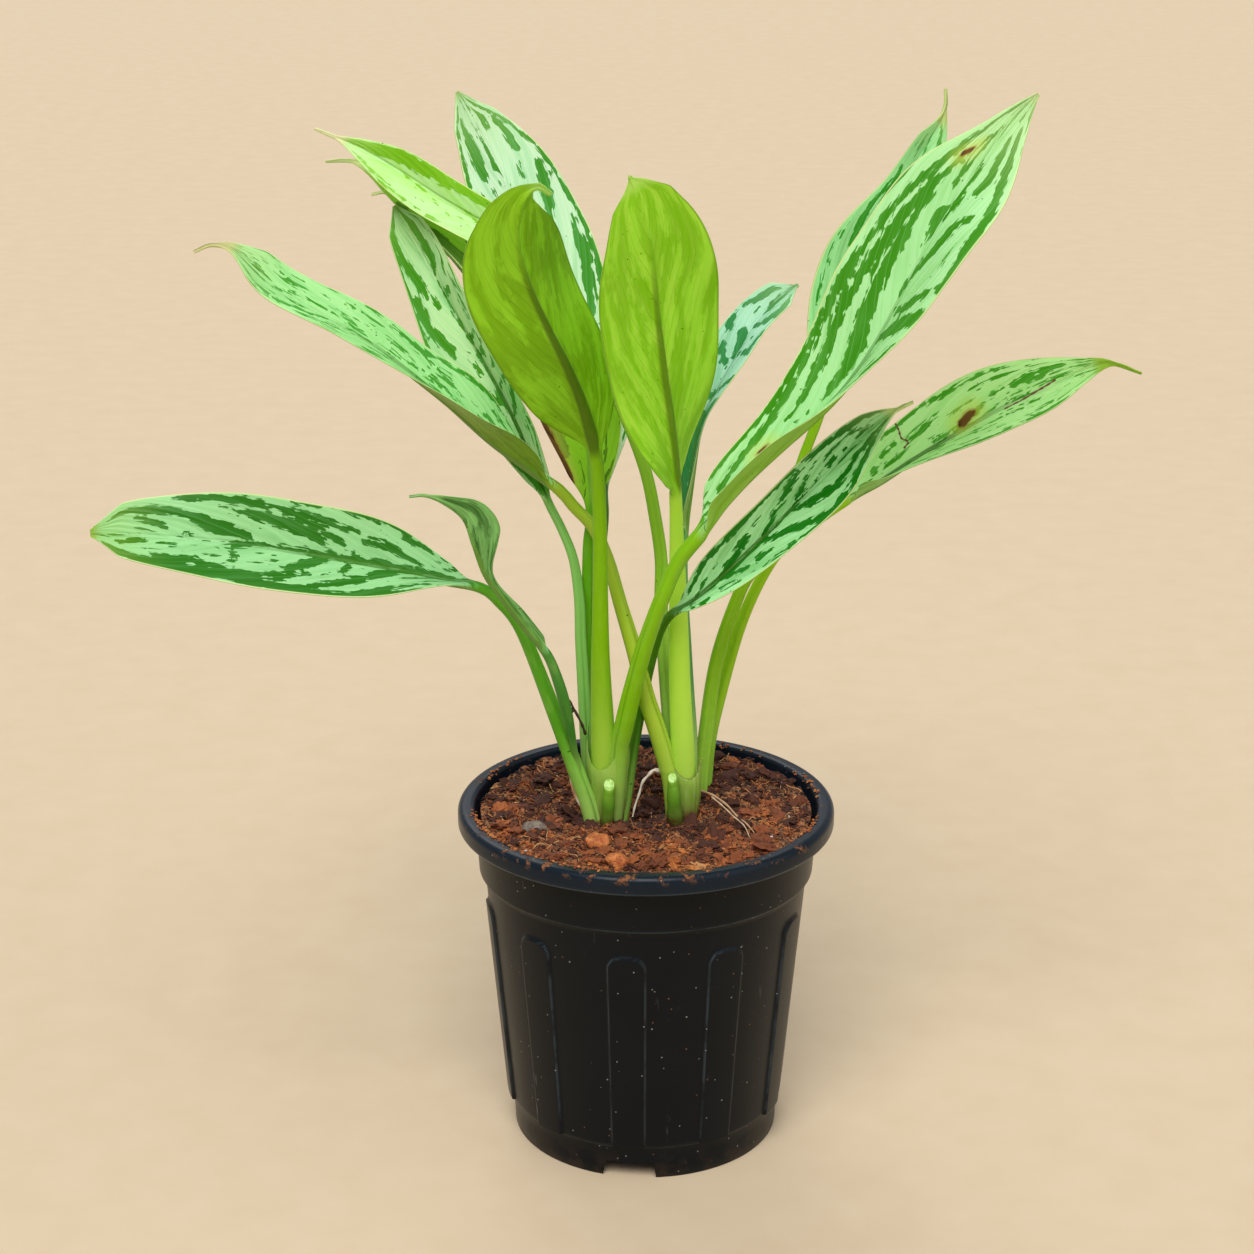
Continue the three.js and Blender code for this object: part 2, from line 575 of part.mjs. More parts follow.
// One closed section: seven points over the upper face, left to right, and seven back below
function leafSection(leaf, centre, forward, t, stalkShare, grow) {
  const { upper, right } = bladeAxes(leaf, forward, t);
  const width = halfWidth(leaf, t);
  const neckRadius = leaf.stalkWidth.at(-1) / 2;
  const stalkRadius = along(leaf.stalkWidth, stalkShare) / 2 + grow;
  const ribRadius = THREE.MathUtils.lerp(neckRadius, RIB_AT_TIP, Math.min(t, 1) ** 0.7);
  const flat = THREE.MathUtils.smoothstep(t, 0, BLADE_BLEND);
  const inner = THREE.MathUtils.clamp(ribRadius / width, 0.1, 0.35);
  const stations = [-1, -0.6, -inner, 0, inner, 0.6, 1];

  const bladePoint = (station, below) => {
    const side = Math.sign(station);
    const out = Math.abs(station) * width;
    const [foldBase, foldTip] = side < 0 ? leaf.fold.left : leaf.fold.right;
    const degrees = side === 0 ? 0 : THREE.MathUtils.lerp(foldBase, foldTip, Math.min(t, 1));
    const lean = THREE.MathUtils.degToRad(degrees);
    const rise = out * Math.sin(lean) - leaf.arch * out * Math.abs(station);
    const skin = upper.clone().multiplyScalar(Math.cos(lean));
    skin.addScaledVector(right, -side * Math.sin(lean));
    const body = Math.abs(station) === 1 ? BLADE_EDGE : BLADE_BODY;
    const depth = station === 0 && below ? BLADE_EDGE + ribRadius : body;
    return centre.clone()
      .addScaledVector(right, side * out * Math.cos(lean))
      .addScaledVector(upper, rise)
      .addScaledVector(skin, below ? -depth : depth);
  };
  const stalkPoint = (index, below) => {
    const angle = Math.PI * (1 - (index + 0.5) / stations.length);
    return centre.clone()
      .addScaledVector(right, stalkRadius * Math.cos(angle))
      .addScaledVector(upper, (below ? -1 : 1) * stalkRadius * Math.sin(angle));
  };
  const point = (index, below) => (flat === 0
    ? stalkPoint(index, below)
    : stalkPoint(index, below).lerp(bladePoint(stations[index], below), flat));
  const over = stations.map((_, index) => point(index, false));
  const under = stations.map((_, index) => point(index, true)).reverse();
  return [...over, ...under];
}

// Where a leaf's sections stand: arc lengths with the blade share t and the stalk share
function sectionPlaces(leaf, length, stalkLength) {
  const places = [];
  const stalkSteps = Math.max(3, Math.round(stalkLength / STALK_STEP));
  for (let i = 0; i < stalkSteps; i += 1) {
    places.push({ at: (stalkLength * i) / stalkSteps, t: 0, stalkShare: i / stalkSteps });
  }
  const blade = length - stalkLength;
  for (let i = 0; i <= BLADE_SECTIONS; i += 1) {
    const t = ((1 - leaf.thread) * (1 - Math.cos((Math.PI * i) / BLADE_SECTIONS))) / 2;
    places.push({ at: stalkLength + blade * t, t, stalkShare: 1 });
  }
  const threadSteps = leaf.thread > 0.05 ? THREAD_SECTIONS : 0;
  for (let i = 1; i <= threadSteps; i += 1) {
    const t = 1 - leaf.thread + (leaf.thread * i) / threadSteps;
    places.push({ at: stalkLength + blade * t, t, stalkShare: 1 });
  }
  return places;
}

// Joins sections into a closed body. Both faces of the blade are split along the same diagonals.
function loft(sections) {
  const size = sections[0].length;
  const half = size / 2;
  const positions = sections.flat();
  const faces = [];
  for (let row = 0; row + 1 < sections.length; row += 1) {
    for (let k = 0; k < size; k += 1) {
      const next = (k + 1) % size;
      const [a, b] = [row * size + k, row * size + next];
      const [c, d] = [a + size, b + size];
      if (k < half) faces.push([a, b, d], [a, d, c]);
      else faces.push([a, b, c], [b, d, c]);
    }
  }
  const last = positions.length - size;
  const foot = positions.length;
  const head = foot + 1;
  for (let k = 0; k < size; k += 1) {
    const next = (k + 1) % size;
    faces.push([foot, next, k], [head, last + k, last + next]);
  }
  const middle = (section) => section
    .reduce((sum, point) => sum.add(point), new THREE.Vector3())
    .divideScalar(size);
  const vertices = [...positions, middle(sections[0]), middle(sections.at(-1))];
  const geometry = new THREE.BufferGeometry().setFromPoints(vertices);
  geometry.setIndex(faces.flat());
  return solidFrom(geometry);
}

function sectionAt(leaf, line, place, grow) {
  const share = Math.min(place.at / line.length, 1);
  const centre = line.curve.getPointAt(share);
  const forward = line.curve.getTangentAt(share);
  return leafSection(leaf, centre, forward, place.t, place.stalkShare, grow);
}

function buildLeaf(leaf) {
  const line = centreLine(leaf);
  const places = sectionPlaces(leaf, line.length, line.stalkLength);
  return loft(places.map((place) => sectionAt(leaf, line, place, 0)));
}

// The foot of a leaf's stalk with clearance round it, which its neighbours are cut back by
function stalkRoom(leaf) {
  const line = centreLine(leaf);
  const places = sectionPlaces(leaf, line.length, line.stalkLength);
  const foot = places.filter(({ at }) => at <= Math.min(SEAT_ZONE, 0.8 * line.stalkLength));
  const sections = foot.map((place) => sectionAt(leaf, line, place, CLEARANCE));
  const drop = line.curve.getTangentAt(0).multiplyScalar(-CLEARANCE);
  sections[0].forEach((point) => point.add(drop));
  return loft(sections);
}

// ---------------------------------------------------------------- the whole plant

const plant = new THREE.Group();

function addPiece(name, solid, color, roughness) {
  const material = new THREE.MeshStandardMaterial({ color, roughness, metalness: 0 });
  const piece = new THREE.Mesh(geometryFrom(solid.translate(POT_AXIS)), material);
  piece.name = name;
  plant.add(piece);
}

const taken = canes.map((cane) => buildCane(cane, CLEARANCE));
for (const leaf of leaves) {
  const body = taken.reduce((rest, room) => rest.subtract(room), buildLeaf(leaf));
  addPiece(leaf.name, largestBody(body), leaf.color, 0.4);
  taken.push(stalkRoom(leaf));
}
for (const cane of canes) addPiece(cane.name, buildCane(cane), 0x9bb35a, 0.6);
for (const pebble of pebbles) addPiece(pebble.name, buildPebble(pebble), pebble.color, 0.9);
taken.push(...pebbles.map((pebble) => buildPebble(pebble, CLEARANCE)));
addPiece('soil', buildSoil(taken), 0x6b3d26, 1);
addPiece('pot', buildPot(), 0x1d1f22, 0.45);

export default plant;
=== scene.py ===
# A potted Chinese evergreen, dressed over its CAD frame. Metres, +Z up, -Y is the front.
import math
import random

import bmesh
import bpy
import numpy as np
from mathutils import Euler, Matrix, Vector, noise


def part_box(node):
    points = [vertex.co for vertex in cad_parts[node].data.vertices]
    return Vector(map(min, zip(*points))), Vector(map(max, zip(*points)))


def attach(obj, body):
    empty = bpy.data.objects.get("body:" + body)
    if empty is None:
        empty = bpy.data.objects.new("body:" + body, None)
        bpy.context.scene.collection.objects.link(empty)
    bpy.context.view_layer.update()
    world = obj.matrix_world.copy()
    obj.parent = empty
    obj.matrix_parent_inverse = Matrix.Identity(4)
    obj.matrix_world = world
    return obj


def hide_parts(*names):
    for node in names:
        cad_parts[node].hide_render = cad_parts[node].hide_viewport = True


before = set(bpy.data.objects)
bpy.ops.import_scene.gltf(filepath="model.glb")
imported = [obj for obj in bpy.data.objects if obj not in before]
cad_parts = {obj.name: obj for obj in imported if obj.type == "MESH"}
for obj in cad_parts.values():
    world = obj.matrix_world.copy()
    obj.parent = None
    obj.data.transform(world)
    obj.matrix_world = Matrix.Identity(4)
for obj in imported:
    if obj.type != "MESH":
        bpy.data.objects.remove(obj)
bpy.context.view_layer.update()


# ---------------------------------------------------------------- studio
# A plain pale floor under soft daylight that comes from overhead and in front, with weaker light from
# the right and from behind. The camera stands at the photograph's height and angle, before the pot's axis.

def paint(code):
    """A six-figure screen colour as the light it stands for."""
    parts = [int(code[i:i + 2], 16) / 255 for i in (0, 2, 4)]
    return (*((p / 12.92 if p <= 0.04045 else ((p + 0.055) / 1.055) ** 2.4) for p in parts), 1)


class Shade:
    """A socket of a material. Sums, products and steps of shades add the nodes for them."""

    def __init__(self, surface, socket):
        self.surface = surface
        self.socket = socket

    def maths(self, operation, *terms):
        return self.surface.node("ShaderNodeMath", {"operation": operation}, dict(enumerate(terms)))

    def __add__(self, other):
        return self.maths("ADD", self, other)

    def __sub__(self, other):
        return self.maths("SUBTRACT", self, other)

    def __rsub__(self, other):
        return self.maths("SUBTRACT", other, self)

    def __mul__(self, other):
        return self.maths("MULTIPLY", self, other)

    def __truediv__(self, other):
        return self.maths("DIVIDE", self, other)

    def __gt__(self, other):
        return self.maths("GREATER_THAN", self, other)

    def __abs__(self):
        return self.maths("ABSOLUTE", self)

    __radd__ = __add__
    __rmul__ = __mul__

    def cosine(self):
        return self.maths("COSINE", self)

    def upto(self, other):
        return self.maths("MINIMUM", self, other)

    def atleast(self, other):
        return self.maths("MAXIMUM", self, other)

    def step(self, low, high):
        """0 at low, 1 at high and smooth between. It falls where low is the greater."""
        return self.surface.node(
            "ShaderNodeMapRange", {"interpolation_type": "SMOOTHSTEP"},
            {"Value": self, "From Min": low, "From Max": high})


class Surface:
    """A material, made one node at a time. A colour is a shade or a six-figure code."""

    def __init__(self, name):
        self.material = bpy.data.materials.new(name)
        self.material.use_nodes = True
        self.tree = self.material.node_tree
        self.tree.nodes.clear()

    def node(self, kind, settings=None, inputs=None, output=0):
        """A node of any kind: its settings, then what its sockets hold or are fed from."""
        node = self.tree.nodes.new(kind)
        for name, value in (settings or {}).items():
            if name == "stops":
                self.set_stops(node.color_ramp.elements, value)
            else:
                setattr(node, name, value)
        for name, value in (inputs or {}).items():
            if isinstance(value, Shade):
                self.tree.links.new(value.socket, node.inputs[name])
            else:
                node.inputs[name].default_value = paint(value) if isinstance(value, str) else value
        return Shade(self, node.outputs[output]) if node.outputs else node

    def set_stops(self, stops, wanted):
        stops[0].position, stops[-1].position = wanted[0][0], wanted[-1][0]
        stops[0].color, stops[-1].color = paint(wanted[0][1]), paint(wanted[-1][1])
        for place, colour in wanted[1:-1]:
            stops.new(place).color = paint(colour)

    def place(self):
        return self.node("ShaderNodeTexCoord", output="Object")

    def figure(self, name, output="Fac"):
        """A figure that the piece carries at each of its points."""
        return self.node("ShaderNodeAttribute", {"attribute_name": name}, output=output)

    def stretched(self, place, scale):
        return self.node("ShaderNodeMapping", inputs={"Vector": place, "Scale": scale})

    def parts(self, vector):
        split = self.node("ShaderNodeSeparateXYZ", inputs={"Vector": vector}).socket.node
        return [Shade(self, socket) for socket in split.outputs]

    def vector(self, x, y, z):
        return self.node("ShaderNodeCombineXYZ", inputs={"X": x, "Y": y, "Z": z})

    def clouds(self, place, size, detail=2.0, rough=0.5):
        """Soft noise between 0 and 1 whose lumps are about size across."""
        return self.node("ShaderNodeTexNoise", inputs={
            "Vector": place, "Scale": 1 / size, "Detail": detail, "Roughness": rough})

    def specks(self, place, size, output="Distance", metric="EUCLIDEAN"):
        """Cells about size across."""
        return self.node(
            "ShaderNodeTexVoronoi", {"distance": metric}, {"Vector": place, "Scale": 1 / size}, output)

    def blend(self, share, below, above):
        """The colour below where share is 0, and above where it is 1."""
        return self.node("ShaderNodeMix", {"data_type": "RGBA"}, {0: share, 6: below, 7: above}, 2)

    def ramp(self, share, *stops):
        return self.node("ShaderNodeValToRGB", {"stops": stops}, {"Fac": share})

    def coat(self, colour, roughness, height=None, through=None, **constants):
        """One shader over the whole piece. height is a bump in millimetres, and through is the
        share of light that a thin piece lets through."""
        inputs = {"Base Color": colour, "Roughness": roughness, **constants}
        if height is not None:
            inputs["Normal"] = self.node("ShaderNodeBump", inputs={"Height": height, "Distance": 0.001})
        shader = self.node("ShaderNodeBsdfPrincipled", inputs=inputs)
        if through:
            glow = self.node("ShaderNodeBsdfTranslucent", inputs={"Color": colour})
            shader = self.node("ShaderNodeMixShader", inputs={0: through, 1: shader, 2: glow})
        self.node("ShaderNodeOutputMaterial", inputs={"Surface": shader})
        return self


pot_low, pot_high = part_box("pot")
AXIS = Vector(((pot_low.x + pot_high.x) / 2, (pot_low.y + pot_high.y) / 2, 0))

ground = Surface("pale_floor")
grain = ground.clouds(ground.place(), 0.02, 4)
ground.coat(ground.blend(grain, "c6b092", "cfbca0"), 0.9, grain * 0.2)

FLOOR_REACH = 20
floor_mesh = bpy.data.meshes.new("floor")
floor_corners = [(FLOOR_REACH * x, FLOOR_REACH * y, 0) for x, y in ((-1, -1), (1, -1), (1, 1), (-1, 1))]
floor_mesh.from_pydata(floor_corners, [], [(0, 1, 2, 3)])
floor_mesh.materials.append(ground.material)


def put(name, data):
    """Sets a mesh, a light or a camera in the scene."""
    made = bpy.data.objects.new(name, data)
    bpy.context.collection.objects.link(made)
    return made


put("floor", floor_mesh)

sky = bpy.data.worlds.new("sky")
sky.use_nodes = True
sky.node_tree.nodes["Background"].inputs["Color"].default_value = (0.9, 0.95, 1.0, 1)
sky.node_tree.nodes["Background"].inputs["Strength"].default_value = 0.4
bpy.context.scene.world = sky
bpy.context.scene.view_settings.view_transform = "Standard"


def daylight(name, towards, power, softness, colour):
    """Soft light from far off, coming from the direction of towards."""
    light = bpy.data.lights.new(name, "SUN")
    light.energy, light.angle, light.color = power, math.radians(softness), colour
    put(name, light).rotation_euler = Vector(towards).to_track_quat("Z", "Y").to_euler()


daylight("overhead_front", (-0.15, -0.95, 1.35), 2.7, 38, (1, 0.985, 0.95))
daylight("right_side", (1.2, -0.5, 0.8), 0.5, 60, (1, 0.98, 0.95))
daylight("behind", (-0.3, 1.2, 1.2), 0.8, 40, (1, 1, 0.97))

# The lens's length in pixels of the picture, the picture's width, and how the camera looks down and aside
LENS_PIXELS, PICTURE_WIDTH, LOOK_DOWN, LOOK_ASIDE = 2662, 1254, 18.96, 0.441
lens = bpy.data.cameras.new("camera")
lens.sensor_width, lens.lens = 36, 36 * LENS_PIXELS / PICTURE_WIDTH
camera = put("camera", lens)
camera.location = AXIS + Vector((0, -0.8512, 0.4769))
camera.rotation_euler = (math.radians(90 - LOOK_DOWN), 0, math.radians(LOOK_ASIDE))
bpy.context.scene.camera = camera


# ---------------------------------------------------------------- pot
# A thin nursery pot moulded in black polypropylene: a rolled rim, a smooth band, ten shallow
# arch-topped ribs on the tapered wall, and a stepped foot with three notches and drain holes.

def skin(rings, looped=False):
    """Points and faces of a body drawn through rings of points. It closes at its two ends, or on
    itself if looped."""
    count, size = rings.shape[:2]
    faces = []
    for row in range(count if looped else count - 1):
        here, there = row * size, (row + 1) % count * size
        for k in range(size):
            after = (k + 1) % size
            faces.append((here + k, here + after, there + after, there + k))
    if not looped:
        faces.append(tuple(range(size)))
        faces.append(tuple(range((count - 1) * size, count * size)))
    return rings.reshape(-1, 3), faces


def shell(name, points, faces, **values):
    """A closed mesh from points in millimetres round the pot's axis, with its faces turned outward.
    values are figures for the whole of it or for each point."""
    mesh = bpy.data.meshes.new(name)
    mesh.from_pydata((np.asarray(points) * 0.001 + np.array(AXIS)).tolist(), [], faces)
    for label, figures in values.items():
        if not np.ndim(figures):
            figures = np.full(len(points), figures)
        kind, field = ("FLOAT", "value") if np.ndim(figures) == 1 else ("FLOAT_VECTOR", "vector")
        layer = mesh.attributes.new(label, kind, "POINT")
        layer.data.foreach_set(field, np.asarray(figures, np.float32).ravel())
    work = bmesh.new()
    work.from_mesh(mesh)
    bmesh.ops.recalc_face_normals(work, faces=work.faces)
    work.to_mesh(mesh)
    work.free()
    return mesh


def piece(name, points, faces, surface, slot, node=None, facets=False, **values):
    """A piece of the plant or its pot. values are figures that its material reads."""
    mesh = shell(name, points, faces, **values)
    mesh.polygons.foreach_set("use_smooth", [not facets] * len(mesh.polygons))
    if not facets:
        mesh.set_sharp_from_angle(angle=math.radians(55))
    mesh.materials.append(surface.material)
    made = put(name, mesh)
    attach(made, "root")
    if node:
        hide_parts(node)
    return made


def cut(made, tools):
    """Cuts tools, given as points and faces, out of a piece."""
    for points, faces in tools:
        tool = put("cutter", shell("cutter", points, faces))
        change = made.modifiers.new("cut", "BOOLEAN")
        change.operation, change.object, change.solver = "DIFFERENCE", tool, "EXACT"
        shaped = made.evaluated_get(bpy.context.evaluated_depsgraph_get())
        shaped = bpy.data.meshes.new_from_object(shaped)
        made.modifiers.remove(change)
        made.data = shaped
        bpy.data.objects.remove(tool)


# Radii, in mm
BAND_TOP, BAND_BOTTOM, WALL_TOP, WALL_BOTTOM, FOOT_TOP, FOOT_BOTTOM = 58.9, 57.9, 56, 48.3, 47.2, 46.5
# Heights, and the thickness of the wall
LIP_BOTTOM, BAND_FOOT, FOOT_STEP, FLOOR_TOP, FLOOR_UNDER, POT_WALL = 114.2, 97.5, 12.5, 8.6, 7, 1.5
# The ribs: how many, the first one's turn and their half width in degrees, their top and its corners in mm
RIBS, RIB_PHASE, RIB_HALF, RIB_TOP, RIB_CORNER = 10, -6.7, 7, 88, 5.2


def rounded(corner, start, turn, radius, steps=5):
    """Points of a quarter round in a profile, about a corner's centre."""
    angles = np.radians(np.linspace(start, start + turn, steps))
    return [(corner[0] + radius * math.cos(a), corner[1] + radius * math.sin(a)) for a in angles]


pot_outer = [
    (FOOT_BOTTOM - 1.3, 0), (FOOT_BOTTOM - 0.3, 0), (FOOT_BOTTOM, 0.4), (46.7, 4), (46.95, 8),
    (FOOT_TOP - 0.05, 11.6), (FOOT_TOP + 0.25, FOOT_STEP - 0.35), (WALL_BOTTOM - 0.4, FOOT_STEP),
    (WALL_BOTTOM, FOOT_STEP + 0.4)]
wall_levels = [14, 17, 22, 30, 38, 46, 54, 62, 69, 74, 77, *np.arange(79, 90.5, 0.75), 92, 95, 96.9]
pot_outer += [(WALL_BOTTOM + (WALL_TOP - WALL_BOTTOM) * (z - FOOT_STEP) / (BAND_FOOT - FOOT_STEP), z)
              for z in wall_levels]
pot_outer += [(WALL_TOP + 0.5, BAND_FOOT - 0.15), (BAND_BOTTOM - 0.5, BAND_FOOT + 0.05),
              (BAND_BOTTOM, BAND_FOOT + 0.6), (BAND_BOTTOM + 0.03, BAND_FOOT + 1), (58, 99.6), (58.4, 106),
              (58.8, 112.4), (BAND_TOP - 0.03, LIP_BOTTOM - 1), (BAND_TOP, LIP_BOTTOM - 0.6),
              (BAND_TOP + 0.8, LIP_BOTTOM)]
pot_outer += [(62.6, LIP_BOTTOM), *rounded((63.9, LIP_BOTTOM + 1.1), -90, 90, 1.1),
              (65, 116.6), *rounded((62.6, 118.6), 0, 90, 2.4, 8), (60.9, 120.9),
              *rounded((60.6, 119.4), 90, 90, 1.5, 5), (59.1, 117.4)]
pot_inner = [(BAND_TOP - POT_WALL, LIP_BOTTOM), (BAND_BOTTOM - POT_WALL, BAND_FOOT + 1),
             (WALL_TOP - POT_WALL, BAND_FOOT - 1), (WALL_BOTTOM - POT_WALL, FOOT_STEP + 1),
             (FOOT_TOP - POT_WALL, FOOT_STEP - 1), (FOOT_TOP - POT_WALL - 1, FLOOR_TOP), (2, FLOOR_TOP),
             (2, FLOOR_UNDER), (FOOT_BOTTOM - 1.6, FLOOR_UNDER), (FOOT_BOTTOM - 1.6, 0.3)]
pot_profile = np.array(pot_outer + pot_inner)
outside = np.arange(len(pot_profile)) < len(pot_outer)

# How far each point of the wall stands out: 1 mm on a rib, whose top is an arch
rib_cell = [0, 1.5, 3, 4.2, 5, 5.6, 6.1, 6.5, 6.8, 7.1, 7.5, 8.2, 9.5, 11.5, 14, 16.5]
rib_cell = sorted({*rib_cell, *(-a for a in rib_cell), 18})
angles = np.radians([RIB_PHASE + 36 * i + a for i in range(RIBS) for a in rib_cell])
from_rib = np.array([a for _ in range(RIBS) for a in rib_cell])
radius, height = pot_profile[:, 0][None, :], pot_profile[:, 1][None, :]
across = np.abs(np.radians(from_rib))[:, None] * radius
half = math.radians(RIB_HALF) * radius
corner_out = np.hypot(np.maximum(across - half + RIB_CORNER, 0),
                      np.maximum(height - RIB_TOP + RIB_CORNER, 0))
inside_rib = RIB_CORNER - corner_out
on_wall = outside[None, :] & (height > FOOT_STEP + 0.3) & (height < BAND_FOOT - 0.5)
rise = np.clip((inside_rib + 0.25) / 0.9, 0, 1)
rise = rise * rise * (3 - 2 * rise) * on_wall
full = radius + rise
pot_rings = np.stack([full * np.sin(angles)[:, None], -full * np.cos(angles)[:, None],
                      height + 0 * full], axis=-1)

black = Surface("black_polypropylene")
where = black.place()
x, y, z = black.parts(where)
flow = black.clouds(where, 0.03, 4, 0.6)
fine = black.clouds(where, 0.0012, 2)
dust_size, dust_hue, _ = black.parts(black.specks(where, 0.003, output="Color"))
dust = (black.specks(where, 0.003) + dust_size * 0.06).step(0.15, 0.1) * (dust_size > 0.45)
# Painted highlight: edges that stand proud carry a thin paler line, broken up, as if they caught the light
worn = black.figure("worn")
painted_highlight = worn * black.clouds(where, 0.012, 4, 0.6).step(0.3, 0.6)
scuff = black.clouds(black.stretched(where, (1, 1, 0.16)), 1 / 420, 3).step(0.66, 0.74)
scuff = scuff * black.clouds(where, 0.02).step(0.52, 0.68)
on_rim = z.step(0.1135, 0.1147)
foot_dirt = z.step(0.012, 0.001) * black.clouds(where, 0.006, 4).step(0.42, 0.62)
soil_dust = (black.clouds(where, 0.005, 5, 0.7) - y * 0.9 - x * 0.4).step(0.6, 0.68)
soil_dust = on_rim * soil_dust * z.step(0.1175, 0.1205)
# Painted reflection: the wall's near-black has a faint blue tint, and the rim a navy blue, standing for the
# cool sky they mirror
black_and_painted_sheen = black.blend(flow, "02060b", "070e15")
rim_black_and_painted_reflection = black.blend(flow, "080f17", "13202c")
colour = black.blend(on_rim, black_and_painted_sheen, rim_black_and_painted_reflection)
colour = black.blend(foot_dirt * 0.08, colour, "7a5a3c")
colour = black.blend(soil_dust * 0.8, colour, "8e5a36")
colour = black.blend((scuff * 0.25).upto(1), colour, "7d7f80")
# Painted highlight: a blue-grey line along the proud edges
colour = black.blend(painted_highlight * 0.3, colour, "5c6a74")
colour = black.blend(dust * 0.7, colour,
                     black.blend(dust_hue.step(0.7, 0.8), "9c9a94", "8a5c3a"))
black.coat(colour, (0.27 + flow * 0.14 - on_rim * 0.05 + soil_dust * 0.4 + dust * 0.4).upto(1),
           fine * 0.03 + scuff * 0.03 + soil_dust * 0.25, **{"Specular IOR Level": 0.17})

# Where the painted highlight lies: along the ribs' edges and at the edges of the lip, the band and the foot
# step
on_rib_edge = np.exp(-((inside_rib - 0.35) / 0.22) ** 2) * on_wall * (height > 14)
on_edge = sum(np.exp(-((height - level) / 0.3) ** 2)
              for level in (LIP_BOTTOM + 0.6, BAND_FOOT + 0.5, FOOT_STEP - 0.2))
highlight_edges = np.maximum(on_rib_edge, on_edge * outside[None, :] + 0 * full)
pot = piece("dressed_pot", *skin(pot_rings, looped=True), black, "pot", "pot", worn=highlight_edges.ravel())


def around(degrees, across, up, out):
    """A point on the pot's side: across to the right, up, and out from the axis."""
    a = math.radians(degrees)
    return (across * math.cos(a) + out * math.sin(a), across * math.sin(a) - out * math.cos(a), up)


pot_cutters = []
box_faces = [(0, 1, 2, 3), (4, 5, 6, 7), (0, 1, 5, 4), (1, 2, 6, 5), (2, 3, 7, 6), (3, 0, 4, 7)]
for i in range(3):
    corners = [(-9.8, -3), (9.8, -3), (8.2, 6), (-8.2, 6)]
    points = [around(RIB_PHASE + 120 * i, u, v, out) for out in (40.5, 52) for u, v in corners]
    pot_cutters.append((points, box_faces))
for i in range(6):
    turn = np.radians(np.arange(24) * 15)
    centre = (27 * math.cos(i * math.pi / 3), 27 * math.sin(i * math.pi / 3))
    ring = [(centre[0] + 4 * math.cos(a), centre[1] + 4 * math.sin(a)) for a in turn]
    rings = np.array([[(px, py, level) for px, py in ring] for level in (4, 12)])
    pot_cutters.append(skin(rings))
cut(pot, pot_cutters)


# ---------------------------------------------------------------- soil
# Coarse coco chips, crumbs and fibres fill the pot to its rim, hollowed out round the shoots, with
# specks of perlite and a few dry roots. It is loose, and some of it lies on the rim.

SOIL_LEVEL, SOIL_HOLLOW, HOLLOW_RADIUS, SOIL_LUMP, SOIL_TOP = 118.6, 4.8, 30, 0.9, 121
CHIPS, CRUMBS, FIBRES, PALE_FIBRES, THIN_FIBRES = 560, 3000, 900, 420, 700
# Where crumbs can lie on the rim: its inner edge, its outer edge, the middle of the drifts and its crest
RIM_FROM, RIM_TO, RIM_MIDDLE, RIM_CREST = 58.6, 62.8, 59.8, 60.2
# Hollows beside the shoots, where chips and crumbs are painted darker as shade: x, y, radius, depth
HOLLOWS = [(19, -2, 4.5, 6), (-1, 5, 7, 5), (-24, -5, 5, 4), (-2.5, -4, 4, 4), (5, 15, 8, 4),
           (-30, 12, 6, 3), (30, 8, 5, 3), (4, -22, 4, 3), (-36, -3, 4, 2.5), (36, -20, 4, 2.5),
           (20, 30, 6, 3)]


def soil_height(px, py):
    hollow = math.exp(-(px * px + py * py) / HOLLOW_RADIUS ** 2)
    long = math.sin(0.31 * px + 1) * math.cos(0.27 * py)
    short = math.sin(0.73 * px + 0.51 * py) * math.cos(0.62 * px - 0.8 * py + 2)
    level = SOIL_LEVEL - SOIL_HOLLOW * hollow + SOIL_LUMP * (0.7 * long + 0.5 * short)
    for hx, hy, size, depth in HOLLOWS:
        level -= depth * math.exp(-((px - hx) ** 2 + (py - hy) ** 2) / size ** 2)
    rough = noise.fractal(Vector((px, py, 3)) * 0.22, 1.0, 2.1, 4)
    return min(level + 1.5 * rough, SOIL_TOP)


soil_steps = [(40, 8.95), (45.2, 8.95), (45.4, 11.4), (46.4, 13.6), (54.1, 96.4), (56, 98.6), (57.1, 114)]
soil_steps += [(r, None) for r in [57.1, *np.arange(56.3, 0.5, -0.75)]]
turns = np.radians(np.arange(180) * 2)
soil_rings = np.array([[(r * math.sin(a), -r * math.cos(a),
                         soil_height(r * math.sin(a), -r * math.cos(a)) if z_at is None else z_at)
                        for a in turns] for r, z_at in soil_steps])

coco = Surface("coco_soil")
where = coco.place()
patches = coco.clouds(where, 0.016, 3, 0.6)
crumbs = coco.specks(where, 0.0022)
chip = coco.parts(coco.specks(where, 0.0034, output="Color"))[0]
strands = coco.node("ShaderNodeTexWave", {"wave_type": "BANDS", "bands_direction": "DIAGONAL"}, {
    "Vector": where, "Scale": 260, "Distortion": 14, "Detail": 3, "Detail Scale": 2})
earth = coco.ramp(chip * 0.5 + patches * 0.55, (0.1, "1e0d07"), (0.4, "482310"),
                  (0.62, "703a1e"), (0.85, "9a5a32"))
earth = coco.blend(strands.step(0.5, 0.85) * 0.45, earth, "cf9560")
coco.coat(coco.blend(crumbs.step(0.5, 0.12) * 0.5, earth, "22100a"), 0.95,
          coco.clouds(where, 0.0016, 4, 0.7) * 0.9 - crumbs * 1.1)
piece("coco_soil", *skin(soil_rings), coco, "soil", "soil")

dice = random.Random(7)


